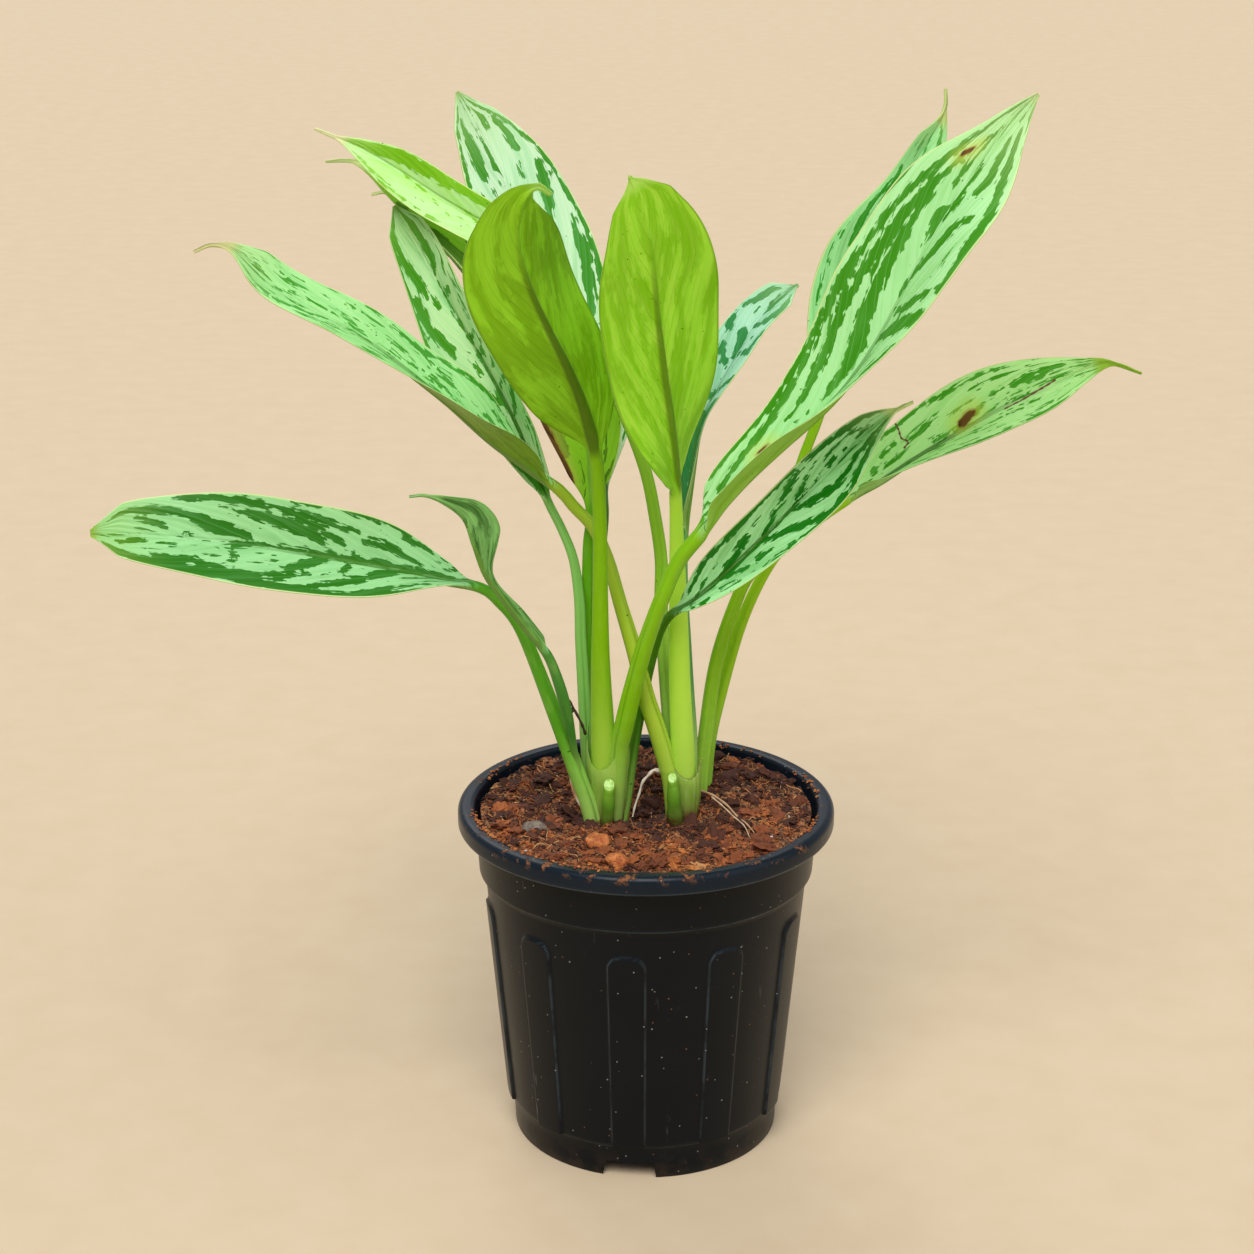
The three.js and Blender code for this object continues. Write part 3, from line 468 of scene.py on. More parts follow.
def lump(seed, detail, rough, squash):
    """A broken crumb: a rough ball, flattened."""
    ball = bmesh.new()
    bmesh.ops.create_icosphere(ball, subdivisions=detail, radius=1)
    points = np.array([v.co * (1 + rough * noise.noise(v.co * 1.3 + Vector((seed * 9.1, 0, 0)))
                               + rough * 0.5 * noise.noise(v.co * 3.1 + Vector((0, seed * 5.3, 0))))
                       for v in ball.verts])
    faces = [tuple(v.index for v in f.verts) for f in ball.faces]
    ball.free()
    return points * (1, 1, squash), faces


def together(bodies):
    """Several bodies as one, each given by its points, its faces and the tone of its points."""
    points, faces, tones, count = [], [], [], 0
    for body, sides, tone in bodies:
        points.append(body)
        faces += [tuple(k + count for k in side) for side in sides]
        tones.append(np.broadcast_to(tone, len(body)))
        count += len(body)
    return np.vstack(points), faces, np.concatenate(tones)


def heap(shapes, lay):
    """Many small shapes as one body. lay gives each one's place, size, turn, stretch and tone."""
    bodies = []
    for at, size, turn, stretch, tone in lay:
        shape, sides = dice.choice(shapes)
        bodies.append(((shape * (stretch, 1, 1) * size) @ np.array(turn) + at, sides, tone))
    return together(bodies)


def on_soil(reach):
    """A place on the soil, up to reach from the pot's axis."""
    r, a = reach * math.sqrt(dice.random()), dice.uniform(0, math.tau)
    return r * math.sin(a), -r * math.cos(a)


def tumble():
    return Euler([dice.uniform(-0.5, 0.5), dice.uniform(-0.5, 0.5), dice.uniform(0, math.tau)]).to_matrix()


def tone_and_painted_shade(px, py):
    """Soil tone: paler and warmer in front, darker at the back left, varying in random patches, and painted
    darker as shade where the soil lies low.
    """
    patch = noise.fractal(Vector((px / 15, py / 15, 7)), 1.0, 2.0, 2)
    # The last term is painted shade: the lower the soil lies below 117 mm, the darker its chips and crumbs
    return 0.2 - 0.33 * py / 57 + 0.05 * px / 57 + 0.5 * patch - 0.09 * max(0, 117 - soil_height(px, py))


chip_shapes = [lump(i, 3, 0.9, 0.6) for i in range(6)]
crumb_shapes = [lump(i + 9, 1, 0.5, 0.7) for i in range(6)]
chip_lay, crumb_lay = [], []
for _ in range(CHIPS):
    px, py = on_soil(55.4)
    size = dice.uniform(0.7, 1.9) + (dice.random() > 0.82) * dice.uniform(0.4, 1.6)
    tone = min(0.88, max(0.13, dice.gauss(tone_and_painted_shade(px, py), 0.16)))
    at = (px, py, soil_height(px, py) + 0.1 * size)
    chip_lay.append((at, size, tumble(), dice.uniform(1, 1.7), tone))
for _ in range(CRUMBS):
    px, py = on_soil(57)
    size = dice.uniform(0.25, 0.8)
    tone = min(0.88, max(0, dice.gauss(tone_and_painted_shade(px, py) + 0.02, 0.16))) if dice.random() > 0.008 else 1.0
    at = (px, py, soil_height(px, py) + 0.2 * size)
    crumb_lay.append((at, size, tumble(), dice.uniform(1, 1.9), tone))
# Crumbs spilt on the rim, in drifts: the middle of each and how far it spreads, in degrees
for middle, spread, count in [(-68, 14, 60), (-44, 9, 34), (-22, 12, 30), (70, 10, 30), (112, 14, 24),
                              (150, 20, 16), (-120, 16, 22), (20, 40, 14)]:
    for _ in range(count):
        a = math.radians(dice.gauss(middle, spread * 0.5))
        r = dice.gauss(RIM_MIDDLE, 0.8)
        if not RIM_FROM < r < RIM_TO:
            continue
        size = dice.uniform(0.25, 0.6)
        level = SOIL_TOP - max(0, RIM_CREST - r) ** 2 * 0.4
        at = (r * math.sin(a), -r * math.cos(a), level + 0.1 * size)
        crumb_lay.append((at, size, tumble(), 1.3, dice.uniform(0.35, 0.85)))

crumb = Surface("coco_crumbs")
where = crumb.place()
tone = crumb.figure("tone")
wood = crumb.stretched(where, (1, 0.25, 0.6))
grain = crumb.clouds(wood, 0.0011, 4, 0.7)
bark = crumb.ramp(tone, (0.0, "24110a"), (0.22, "542816"), (0.45, "904c26"),
                  (0.66, "b5652f"), (0.84, "d08444"), (0.9, "cf9d68"),
                  (0.97, "dcd6c8"), (1.0, "e6e2d8"))
bark = crumb.blend(grain.step(0.35, 0.7), crumb.blend(0.35, bark, "2a140b"), bark)
crumb.coat(bark, 0.92, grain * 0.5 + crumb.clouds(where, 0.0005, 2) * 0.2)
for name, shapes, lay, facets in [("coco_chips", chip_shapes, chip_lay, False),
                                  ("coco_crumbs", crumb_shapes, crumb_lay, True)]:
    points, faces, tones = heap(shapes, lay)
    piece(name, points, faces, crumb, "soil", facets=facets, tone=tones)


def thread(points, radii, sides=6):
    """Rings of points round a bent line, given the radius at each of its points."""
    points = np.asarray(points, float)
    forward = np.gradient(points, axis=0)
    forward /= np.linalg.norm(forward, axis=1)[:, None]
    side = np.cross(forward, (0.13, 0.21, 0.97))
    side /= np.linalg.norm(side, axis=1)[:, None]
    top = np.cross(side, forward)
    turn = np.arange(sides) * math.tau / sides
    ring = np.cos(turn)[None, :, None] * side[:, None, :] + np.sin(turn)[None, :, None] * top[:, None, :]
    return points[:, None, :] + ring * np.broadcast_to(radii, len(points))[:, None, None]


def smooth(points, per_span=8):
    """A smooth line through points, the same curve that the leaves' centre lines follow."""
    points = np.asarray(points, float)
    padded = np.vstack([2 * points[0] - points[1], points, 2 * points[-1] - points[-2]])
    return read(padded, np.linspace(0, 1, per_span * (len(points) - 1) + 1))


def read(padded, share):
    """Values of a smooth curve at shares of its length, from even steps with one spare each end."""
    spans = len(padded) - 3
    place = np.clip(share, 0, 1) * spans
    i = np.minimum(place.astype(int), spans - 1)
    t = place - i
    if np.ndim(padded) == 2:
        t = t[:, None]
    before, here, there, after = padded[i], padded[i + 1], padded[i + 2], padded[i + 3]
    start, end, rise_up = (there - before) / 2, (after - here) / 2, there - here
    return (here + start * t + (3 * rise_up - 2 * start - end) * t ** 2
            + (start + end - 2 * rise_up) * t ** 3)


fibres = []
for number in range(FIBRES):
    px, py = on_soil(55)
    heading = dice.uniform(0, math.tau)
    pale = number < PALE_FIBRES
    length, bend = dice.uniform(3, 13 if pale else 8), dice.gauss(0, 0.26 if pale else 0.7)
    line = []
    for k in range(8):
        lift = 0.35 + 0.5 * math.sin(k * 0.9 + heading)
        line.append((px, py, soil_height(px, py) + lift + 0.25))
        heading += bend + dice.gauss(0, 0.12)
        step = length / 7
        px, py = px + step * math.cos(heading), py + step * math.sin(heading)
        if math.hypot(px, py) > 57:
            break
    if len(line) < 4:
        continue
    thickness = dice.uniform(0.09, 0.22) + 0.15 * (number > THIN_FIBRES)
    shade_of = dice.choice([0.1, 0.25, 0.4, 0.6, 0.8, 0.9]) if pale else dice.uniform(0.02, 0.7)
    fibres.append((*skin(thread(smooth(line, 3), thickness, 5)), shade_of))
points, faces, tones = together(fibres)
piece("coco_fibres", points, faces, crumb, "soil", tone=tones)


# ---------------------------------------------------------------- dry roots and stick
# A curled papery root skin, a long thin root that runs out over the soil from the right shoot, and
# a dry stalk with a withered bud, all loose in the soil.

dry = Surface("dry_root")
where = dry.place()
fleck = dry.clouds(where, 0.0018, 4, 0.65)
tone = dry.figure("tone")
husk = dry.ramp(tone + (fleck - 0.5) * 0.3, (0.0, "1d1410"), (0.35, "6d4730"), (0.7, "b98d66"),
                (1.0, "d9cdbf"))
dry.coat(husk, 0.8, fleck * 0.25)
# name, points, radius at the ends and the middle, tone
roots = [
    ("curled_root", [(6.5, 3, 128.5), (4.9, 2.8, 130.6), (2.8, 2.5, 131.3), (0.9, 2.2, 129.6),
                     (-1.2, 2, 127), (-2.3, 2, 122.8), (-3.8, 1.5, 118.3), (-4.6, 1, 114.5)],
     (0.8, 0.5, 0.3), 0.98),
    ("long_root", [(15, 9, 124), (16.4, 13, 120.2), (20.7, 11.5, 119.5), (24.1, 8.2, 119.2),
                   (28.1, 0.2, 119.2), (31.2, -10.2, 119.6), (34, -16.7, 119.8), (36.5, -24.6, 119.8)],
     (0.42, 0.4, 0.22), 0.72),
    ("second_root", [(23, 6.8, 119.5), (26.3, -1.3, 119.8), (29.8, -11.8, 120.3), (33.3, -19.5, 120),
                     (35, -28.9, 119.4)], (0.3, 0.28, 0.15), 0.8),
    ("dry_stalk", [(-20.8, -1, 146), (-22, -4, 151), (-25.2, -6, 158.5), (-27, -6, 162),
                   (-29.5, -6, 167.5)], (0.5, 0.42, 0.25), 0.12),
]
for name, line, (foot, middle, tip), shade_of in roots:
    line = smooth(line, 8)
    share = np.linspace(0, 1, len(line))
    radii = np.where(share < 0.5, foot + (middle - foot) * 2 * share,
                     middle + (tip - middle) * (2 * share - 1))
    radii = radii * (1 + 0.2 * np.sin(share * 37))
    points, faces = skin(thread(line, radii, 8))
    piece(name, points, faces, dry, "soil", tone=shade_of)
shape, sides = lump(3, 2, 0.5, 1.3)
piece("withered_bud", shape * (1.7, 1.2, 1) + (-26, -6, 156.6), sides, dry, "soil", tone=0.02)


# ---------------------------------------------------------------- pebbles
# Three small pebbles lie half sunk in the front of the soil: two of orange-brown laterite with
# pitted faces, and one of smooth grey stone. Each stays where the CAD seats it.

stone = Surface("pebble_stone")
where = stone.place()
tone = stone.figure("tone")
mottle = stone.clouds(where, 0.0026, 5, 0.65)
pits = stone.specks(where, 0.0011).step(0.3, 0.1)
laterite = stone.ramp(mottle, (0.3, "8a4420"), (0.5, "b8662f"), (0.7, "cf8a4d"))
slate = stone.ramp(mottle, (0.3, "4d4138"), (0.55, "77695d"), (0.75, "9c8f82"))
face = stone.blend(tone, laterite, slate)
face = stone.blend(pits * 0.5, face, "3b2013")
stone.coat(face, 0.62 + mottle * 0.2, mottle * 0.5 - pits * 0.25)
# name, place, half sizes, turn in degrees, waist across the middle, tone
pebbles = [
    ("round_pebble", (-16, -29, 118), (4.3, 4.1, 3.4), 20, 0.14, 0.0),
    ("flat_pebble", (-9.6, -47, 119.4), (4, 3, 2.4), -15, 0.0, 0.0),
    ("grey_pebble", (-37.8, -20, 119), (4.4, 3.4, 2.6), 5, 0.0, 1.0),
]
for name, at, half_sizes, turn, waist, shade_of in pebbles:
    shape, sides = lump(len(name), 4, 0.16, 1)
    shape = shape * (1 - waist * np.exp(-((shape[:, :1] - 0.25) / 0.3) ** 2)) * half_sizes
    shape = shape @ np.array(Matrix.Rotation(-math.radians(turn), 3, "Z"))
    piece("worn_" + name, shape + at, sides, stone, "pebble", name, tone=shade_of)


# ---------------------------------------------------------------- canes
# Two short fleshy canes swell into crowns that the leaf stalks spring from. Each is ringed by the
# scars of old leaves, and carries the stub of a flower stalk, cut off short with a pale face.

flesh = Surface("cane_flesh")
where = flesh.place()
z = flesh.parts(where)[2]
streak = flesh.clouds(flesh.stretched(where, (1, 1, 0.12)), 0.0016, 3)
blot = flesh.clouds(where, 0.006, 4, 0.6)
green = flesh.ramp(z * 30 - 3.4 + (blot - 0.5) * 0.2, (0.05, "6a4a28"), (0.14, "7e8c3a"),
                   (0.3, "8cb040"), (0.5, "a0c452"), (0.9, "9ac850"))
green = flesh.blend(streak.step(0.5, 0.8) * 0.3, green, "c8dc96")
cut_face = flesh.figure("cut_face")
stub_green = flesh.ramp(z * 30 - 3.4 + (blot - 0.5) * 0.3, (0.06, "4a3418"), (0.16, "5c7a24"),
                        (0.3, "5f9020"), (0.6, "86bc34"))
green = flesh.blend(cut_face.step(-0.2, -0.8), green, stub_green)
green = flesh.blend(cut_face.step(0.55, 0.9), green,
                    flesh.blend(flesh.clouds(where, 0.0016, 3).step(0.4, 0.62), "c4e890", "92c452"))
green = flesh.blend(cut_face.step(1.0, 1.2) * 0.9, green, "9a7a48")
flesh.coat(green, 0.34 + blot * 0.15, streak * 0.12 + blot * 0.25,
           through=0.12, **{"Specular IOR Level": 0.35})

CANE_FOOT, SOIL_LINE, CANE_SIDES, STUB_SIDES = 72.2, 117, 40, 24
# name, axis, radius, crown radius, top, stub foot, stub head, stub radius, lean of the cut
canes = [
    ("left_cane", (-13.5, 2), 4.8, 6.6, 130.6, (-14, -6.6, 94), (-12.6, -8.4, 130.4), (2.3, 2.0), 1.5),
    ("right_cane", (12.5, 5), 4.2, 4.8, 126, (11.6, -1.6, 96), (9, -4.4, 131.4), (2.9, 1.6), 1.3),
]
for name, axis, radius_low, radius_crown, top, foot, head, stub_radius, lean in canes:
    levels = np.concatenate([np.linspace(CANE_FOOT, top - 16, 30), np.linspace(top - 15, top - 0.2, 18)])
    rings = []
    for level in levels:
        swell = np.clip((level - top + 15) / 13, 0, 1)
        r = radius_low + (radius_crown - radius_low) * swell * swell * (3 - 2 * swell)
        r += 0.16 * math.sin(level * 1.35) - 0.25 * math.exp(-((level - SOIL_LINE) / 0.7) ** 2)
        r *= math.sqrt(max(0.02, 1 - max(0, (level - top + 2.4) / 2.5) ** 2))
        rings.append([(axis[0] + r * math.cos(a), axis[1] + r * math.sin(a), level)
                      for a in np.arange(CANE_SIDES) * math.tau / CANE_SIDES])
    cane = skin(np.array(rings))
    foot, head = np.array(foot), np.array(head)
    share = np.array([*np.linspace(0, 0.94, 26), 0.965, 0.985, 0.996, 0.999, 1])
    line = foot + (head - foot) * share[:, None]
    stub_radius = np.interp(share, [0, 0.6, 1], [stub_radius[0], stub_radius[0], stub_radius[1]])
    radii = stub_radius * np.array([*(1 + 0.05 * np.sin(share[:26] * 25)), 0.99, 0.97, 0.92, 0.84, 0.02])
    stub = thread(line, radii, STUB_SIDES)
    slope = (stub[..., 1] - line[:, None, 1]) / stub_radius[:, None] * lean
    stub[..., 2] += np.where(share[:, None] > 0.93, slope, 0)
    cut_at = np.repeat(np.where(share > 0.998, 1.0, -1.0), STUB_SIDES)
    points, faces, marks = together([(*cane, 0.0), (*skin(stub), cut_at)])
    piece("ringed_" + name, points, faces, flesh, "cane", name, cut_face=marks)


# Thin green sheaths clasp the foot of the youngest stalk in each crown. They open at the front in a
# V: the middle of the crown, the sheath's bottom, the turn and height of the V's point, how steeply
# its arms rise, how far round they reach on each side, the sheath's radius at its foot and at the
# top, and how far its edge has dried.
CLASP_COLUMNS, CLASP_ROWS = 41, 22
clasps = [
    ("left_sheath", (-13.2, 1.8), 110, -22, 134.3, 9.5, (-128, 112), 4.9, 7.2, 0.45),
    ("right_sheath", (13.2, 4.8), 110, 20, 129.5, 5, (-40, 104), 4.7, 5.9, 1.4),
]
for (name, middle, bottom, point_turn, point_height, arm, (first, last),
     low_radius, top_radius, dead) in clasps:
    columns = []
    for degrees in np.linspace(first, last, CLASP_COLUMNS):
        a = math.radians(degrees)
        away = abs(degrees - point_turn) / 60
        top = point_height + arm * (away ** 2.2 if away < 1 else 2.2 * away - 1.2)
        top -= 14 * max(0, away - 0.8) ** 2
        levels = np.linspace(bottom, top, CLASP_ROWS)
        rise_share = (levels - bottom) / (top - bottom)
        wander = 0.18 * np.sin(levels * 0.4 + a * 2) + 0.1 * math.sin(degrees * 0.35)
        r = low_radius + (top_radius - low_radius) * np.clip((levels - bottom) / 24, 0, 1) ** 0.8 + wander
        thick = 0.5 - 0.38 * rise_share ** 6
        r_all = np.concatenate([r + thick / 2, (r - thick / 2)[::-1]])
        level_all = np.concatenate([levels, levels[::-1]])
        columns.append(np.stack([middle[0] + r_all * math.sin(a), middle[1] - r_all * math.cos(a),
                                 level_all], 1))
    rows = np.linspace(0, 1, CLASP_ROWS)
    dried = np.concatenate([rows, rows[::-1]]) ** 24
    points, faces = skin(np.array(columns))
    piece(name, points, faces, flesh, "cane", cut_face=np.tile(dried * dead, CLASP_COLUMNS))

# A strip of dead sheath, tan and papery, runs down beside the stalk of the furthest left leaf
strip = smooth([(-26.6, -3.8, 135), (-24.6, -4.4, 126.5), (-21.9, -4.6, 121), (-20.3, -4.6, 117),
                (-19.5, -4.4, 111)], 8)
strip_share = np.linspace(0, 1, len(strip))
strip_rings = thread(strip, 0.25 + 0.75 * np.sin(math.pi * strip_share) ** 0.7, 8)
strip_rings = strip[:, None, :] + (strip_rings - strip[:, None, :]) * (1, 0.4, 1)
points, faces = skin(strip_rings)
piece("papery_strip", points, faces, dry, "cane", tone=np.repeat(0.72 + 0.2 * np.sin(strip_share * 19), 8))


# ---------------------------------------------------------------- leaves
# Fifteen long-stalked leaves, each grown as one piece: a sheathed stalk that runs on as the midrib
# of a thin arching blade. The blades are pale mint with dark green flecks laid along the veins;
# young ones are yellow-green, and the nearest two turn their backs to the front.

# Each leaf: the points that its stalk and midrib run through, in mm; its half widths from base to
# tip; the way that its upper face looks; how far it turns about its midrib at base, middle and tip, and
# how far its halves fold up at base and tip, in degrees; how much they arch; the share of its length
# that is the drawn-out tip, with flap as its least half width and point as how bluntly the blade ends
# before it; and its stalk's width. Then its slot, its colours, and the bold streaks and the wounds.
# Those are routes of (along, across, half breadth) in percent: along from the blade's base to
# its tip, across from one edge at -100 to the other at 100, and the breadth a share of the blade's own.
LEAVES = {
    "front_left_leaf": dict(
        stalk=[(-14.5, 0.5, 131), (-15, -0.5, 151), (-15.5, -3, 174), (-15.5, -5, 196), (-15.5, -9, 225)],
        rib=[(-16.5, -14, 247), (-20, -20, 264), (-24.5, -26, 278), (-31, -33, 294), (-36.5, -38, 308),
            (-39.5, -43, 320.5), (-39.5, -47, 331), (-37, -48.5, 338), (-33.5, -47, 341),
            (-29.5, -44.5, 338.5)],
        half_widths=(4.5, 15, 19.5, 20.3, 13.2), face=(0.1, 0.9, 0.3), turn=(0, 45, 15), fold_left=(15, 25),
        fold_right=(5, 20), arch=0.05, thread=0.12, flap=2.2, point=0.6, stalk_width=(9, 5.6, 4.4),
        slot="olive_leaf", look=dict(under="90ca00", under_light="b0e430", under_rib="567008", tip="c4ee7c",
            tip_from=0.95, through=0.42, stalk="9bd104", foot="c4ec50", share=0.5, ribbed=0.02)),
    "big_right_leaf": dict(
        stalk=[(-12, -0.4, 108), (-10.6, -1.2, 123), (-9.5, -2, 139.5), (-8, -3.5, 148), (-4.5, -7.5, 165),
            (-0.5, -12, 182), (5, -17, 200), (10.5, -20, 214)],
        rib=[(16.5, -23, 223), (24, -25, 233), (33, -27, 244), (44, -29, 255.5), (55, -31, 266.5),
            (64, -32, 277.5), (73, -33, 292.5), (83, -33, 313), (92, -32, 330), (104, -30, 347),
            (114, -28, 360.5), (122, -26, 369)],
        half_widths=(10, 16, 25, 21.5, 6.5), face=(-0.4, -0.7, 0.6), turn=(-10, -15, 5), fold_left=(40, 50),
        fold_right=(85, -5), arch=0.15, thread=0.02, stalk_width=(6.2, 6.8, 5.6, 5),
        slot="leaf", look=dict(clear=2.2, thin=0.45, pale="bff9b2", green="8fdc78", dark="3d9502",
            stalk="8bca02", under="8fcc30", under_light="a8dc58"),
        streaks=[[(10, -93, 8), (35, -92, 8), (50, -88, 8.5), (65, -81, 8), (74, -72, 8), (82, -68, 9),
            (90, -75, 9), (97, -70, 14)], [(10, -50, 10), (20, -62, 11), (27, -70, 10), (35, -79, 6),
            (46, -83, 4), (56, -80, 3)], [(27, -40, 5), (34, -50, 9), (42, -60, 11), (50, -67, 8),
            (60, -64, 9), (70, -54, 10), (80, -45, 8), (88, -40, 4)], [(82, -48, 4), (74, -42, 8),
            (66, -40, 10), (58, -38, 11), (51, -34, 12), (46, -22, 15), (42, -18, 10), (36, -20, 6),
            (28, -24, 3)], [(90, -28, 6), (83, -27, 7), (76, -19, 3)], [(89, 36, 10), (82, 40, 14),
            (79, 36, 10)], [(91, 66, 10), (84, 74, 12), (76, 88, 10), (70, 92, 13), (62, 97, 6)],
            [(75, 62, 5), (73, 42, 9), (68, 25, 12), (63, 8, 8), (57, -5, 3)], [(62, 85, 5), (60, 65, 8),
            (56.5, 40, 10), (54.5, 5, 6)], [(57.5, 95, 10), (54.5, 70, 16), (51.5, 35, 13), (49, 3, 7)]],
        wounds=[[(83, -50, 5), (84.5, -44, 5)], [(19, -32, 5), (21, -30, 5)]]),
    "dark_right_leaf": dict(
        stalk=[(-9.5, 2.6, 108), (-7, 3.5, 122), (-4.5, 4.5, 139.5), (-0.5, 6, 160.5), (1, 5, 168),
            (3, 2, 177), (5, -2, 184.5)],
        rib=[(8.5, -7, 191.5), (16, -12, 198), (29, -14, 211), (39, -16, 222), (48.5, -17, 232.5),
            (59.5, -18, 244.5), (72, -18, 258), (80, -18, 264.5), (85.5, -18, 267.5)],
        half_widths=(3.5, 10.5, 13, 13.5, 7), face=(-0.3, -0.7, 0.6), turn=(10, 25, -25),
        fold_left=(30, 70), fold_right=(55, 25), arch=0.07, thread=0.07, stalk_width=(5, 4, 3),
        slot="leaf", look=dict(clear=1.8, pale="bafbb6", green="5cb850", dark="107f02", stalk="4f8a14",
            foot="8fb850", breadth=14, length=0.36),
        streaks=[[(40, -4, 5), (45, -20, 7), (49, -42, 8), (56, -62, 10), (63, -82, 10)], [(54, -6, 6),
            (58, -25, 8), (62, -48, 7), (68, -62, 5)], [(60, -8, 3), (66, -27, 4), (73, -50, 4),
            (82, -62, 5)], [(66, -90, 6), (72, -86, 12), (80, -84, 14), (92, -90, 14)], [(37, -42, 8),
            (34, -36, 12), (29, -25, 14), (24, -12, 12), (18, 2, 7)], [(12, -70, 12), (20, -86, 10),
            (35, -86, 9), (45, -95, 5), (62, -97, 6)], [(18, -42, 5), (13, -25, 9), (10, 10, 8), (9, 50, 6),
            (10, 90, 8)], [(88, -50, 3), (80, -45, 3)], [(86, -22, 6), (80, -22, 5)], [(72, -27, 5),
            (69, -22, 5)], [(60, 0, 3), (45, 0, 5), (35, 8, 8), (25, 10, 10), (15, 15, 12)], [(38, 10, 5),
            (43, 30, 10), (48, 50, 13), (54, 72, 10), (60, 86, 6)], [(52, 5, 6), (57, 25, 10), (62, 42, 12),
            (68, 50, 10), (76, 38, 10), (85, 45, 12), (92, 52, 8)], [(31, 50, 5), (28, 40, 8), (24, 25, 8),
            (19, 15, 6)], [(36, 88, 6), (50, 92, 4), (62, 90, 7), (72, 86, 10), (82, 68, 10), (93, 70, 10)],
            [(16, 60, 6), (13, 75, 10), (13, 92, 8)]]),
    "far_left_leaf": dict(
        stalk=[(-17.5, -2.5, 107), (-18.8, -3, 117), (-23.5, -3.5, 132), (-30, -5, 152), (-41.5, -9, 185.5),
            (-49.5, -11, 197.5)],
        rib=[(-55, -13, 202.5), (-65, -15, 205.5), (-87.5, -20, 212), (-119, -27, 220), (-139, -31, 224),
            (-165.5, -36, 227.5), (-177.5, -38, 228.5), (-181.5, -39, 227.5)],
        half_widths=(5.5, 15, 17.5, 15.5, 10), face=(0, -0.7, 0.7), turn=(40, -10, 10), fold_left=(30, 20),
        fold_right=(35, 25), arch=0.04, thread=0.03, stalk_width=(6.4, 5.2, 3.6),
        slot="leaf", look=dict(share=0.4, clear=1.4, pale="a5e39d", green="78c070", dark="287804",
            stalk="5eb01b", foot="b4e06c", tip="9cc010", breadth=14, length=0.4),
        streaks=[[(15, -98, 6), (35, -96, 8), (50, -90, 10), (62, -86, 12), (75, -86, 14), (92, -86, 15)],
            [(82, -66, 8), (72, -60, 11), (65, -74, 8), (57, -68, 8), (50, -62, 8), (44, -50, 5)],
            [(59, 0, 8), (63, -12, 9), (62, -40, 4), (66, -66, 4)], [(50, -45, 6), (47, -35, 10),
            (43, -20, 10), (40, -5, 6)], [(44, -82, 6), (37, -64, 10), (31, -50, 9), (27, -32, 12),
            (22, -10, 10), (17, 5, 12)], [(36, -32, 6), (34, -15, 6)], [(33, -90, 6), (26, -80, 10),
            (19, -70, 6), (14, -76, 5)], [(90, -40, 7), (87, -22, 12), (84, -14, 7)], [(92, -5, 4),
            (88, 2, 3)], [(66, 0, 3), (50, 5, 6), (40, 6, 8), (30, 8, 9), (20, 12, 10), (8, 20, 8)],
            [(59, 18, 8), (66, 28, 13), (72, 45, 12), (78, 62, 10), (86, 72, 10), (93, 66, 5)],
            [(86, 46, 6), (81, 32, 5), (77, 20, 2)], [(39, 20, 4), (43, 35, 10), (50, 50, 12), (55, 58, 10),
            (61, 63, 7), (67, 72, 4)], [(33, 20, 3), (37, 35, 5), (42, 55, 6), (48, 66, 4)], [(33, 60, 4),
            (45, 74, 7), (55, 80, 6), (65, 88, 7), (78, 92, 7)], [(31, 48, 6), (25, 52, 11), (21, 40, 10),
            (15, 25, 5)], [(21, 80, 7), (14, 86, 8)], [(9, 50, 7), (7, 75, 8)],
            [(20, 97, 5), (50, 97, 5)]]),
    "rolled_leaf": dict(
        stalk=[(-21.2, -3.4, 124.5), (-24, -5.4, 139), (-26.5, -11.5, 157), (-29.5, -16, 171)],
        rib=[(-33, -18, 181), (-39, -20, 189.5), (-46.5, -22, 200.5), (-52.5, -24, 210.5),
            (-56, -26, 221.5), (-59, -28, 231), (-65.5, -30, 237), (-71, -31, 239.5), (-76, -32, 239.5)],
        half_widths=(4, 4, 3, 12, 5), face=(0.6, -0.2, 0.6), turn=(25, 35, 20), fold_left=(70, 70),
        fold_right=(45, 35), arch=0.14, thread=0.12, stalk_width=(1.4, 2.6, 4, 3.2),
        slot="leaf", look=dict(pale="99e3a4", green="4f9b40", dark="143f04", under="23600e",
            under_light="8ccc70", stalk="4a9032", tip="8cc068", share=0.42)),
    "broad_left_leaf": dict(
        stalk=[(-19, 3.5, 121), (-20.5, 5, 141.5), (-21.5, 7.5, 159), (-22.5, 10, 176.5), (-23, 13, 190),
            (-25, 17, 203), (-29, 21, 212.5)],
        rib=[(-33.5, 25, 220.5), (-38.5, 28, 232), (-43.5, 31, 245), (-50, 33, 258), (-59, 35.5, 274),
            (-68.5, 38, 290), (-75, 40, 302), (-82, 42, 313.5), (-86.5, 44, 321.5)],
        half_widths=(6, 12.5, 17, 12, 7.5), face=(0.2, -0.8, 0.5), turn=(10, -40, -5), fold_left=(45, 30),
        fold_right=(65, 35), arch=0.05, thread=0.02, stalk_width=(5, 4, 3),
        slot="leaf", look=dict(thin=-0.25, pale="d0f9ba", green="7fdc88", dark="489a08", stalk="88c65d",
            foot="88b858", tip="9cc84c", share=0.36, breadth=14, length=0.3),
        streaks=[[(95, -80, 10), (86, -78, 11), (80, -70, 12), (76, -55, 14), (71, -48, 8)], [(96, -92, 6),
            (80, -97, 5), (60, -97, 6), (35, -96, 6)], [(71, -82, 8), (66, -78, 13), (62, -72, 8),
            (58, -60, 10), (52, -50, 5)], [(96, 40, 14), (88, 36, 17), (82, 35, 19), (78, 25, 10),
            (75.5, 10, 3)], [(70, 38, 4), (69, 25, 7), (68, 3, 3)], [(70, -32, 6), (66, -28, 5)],
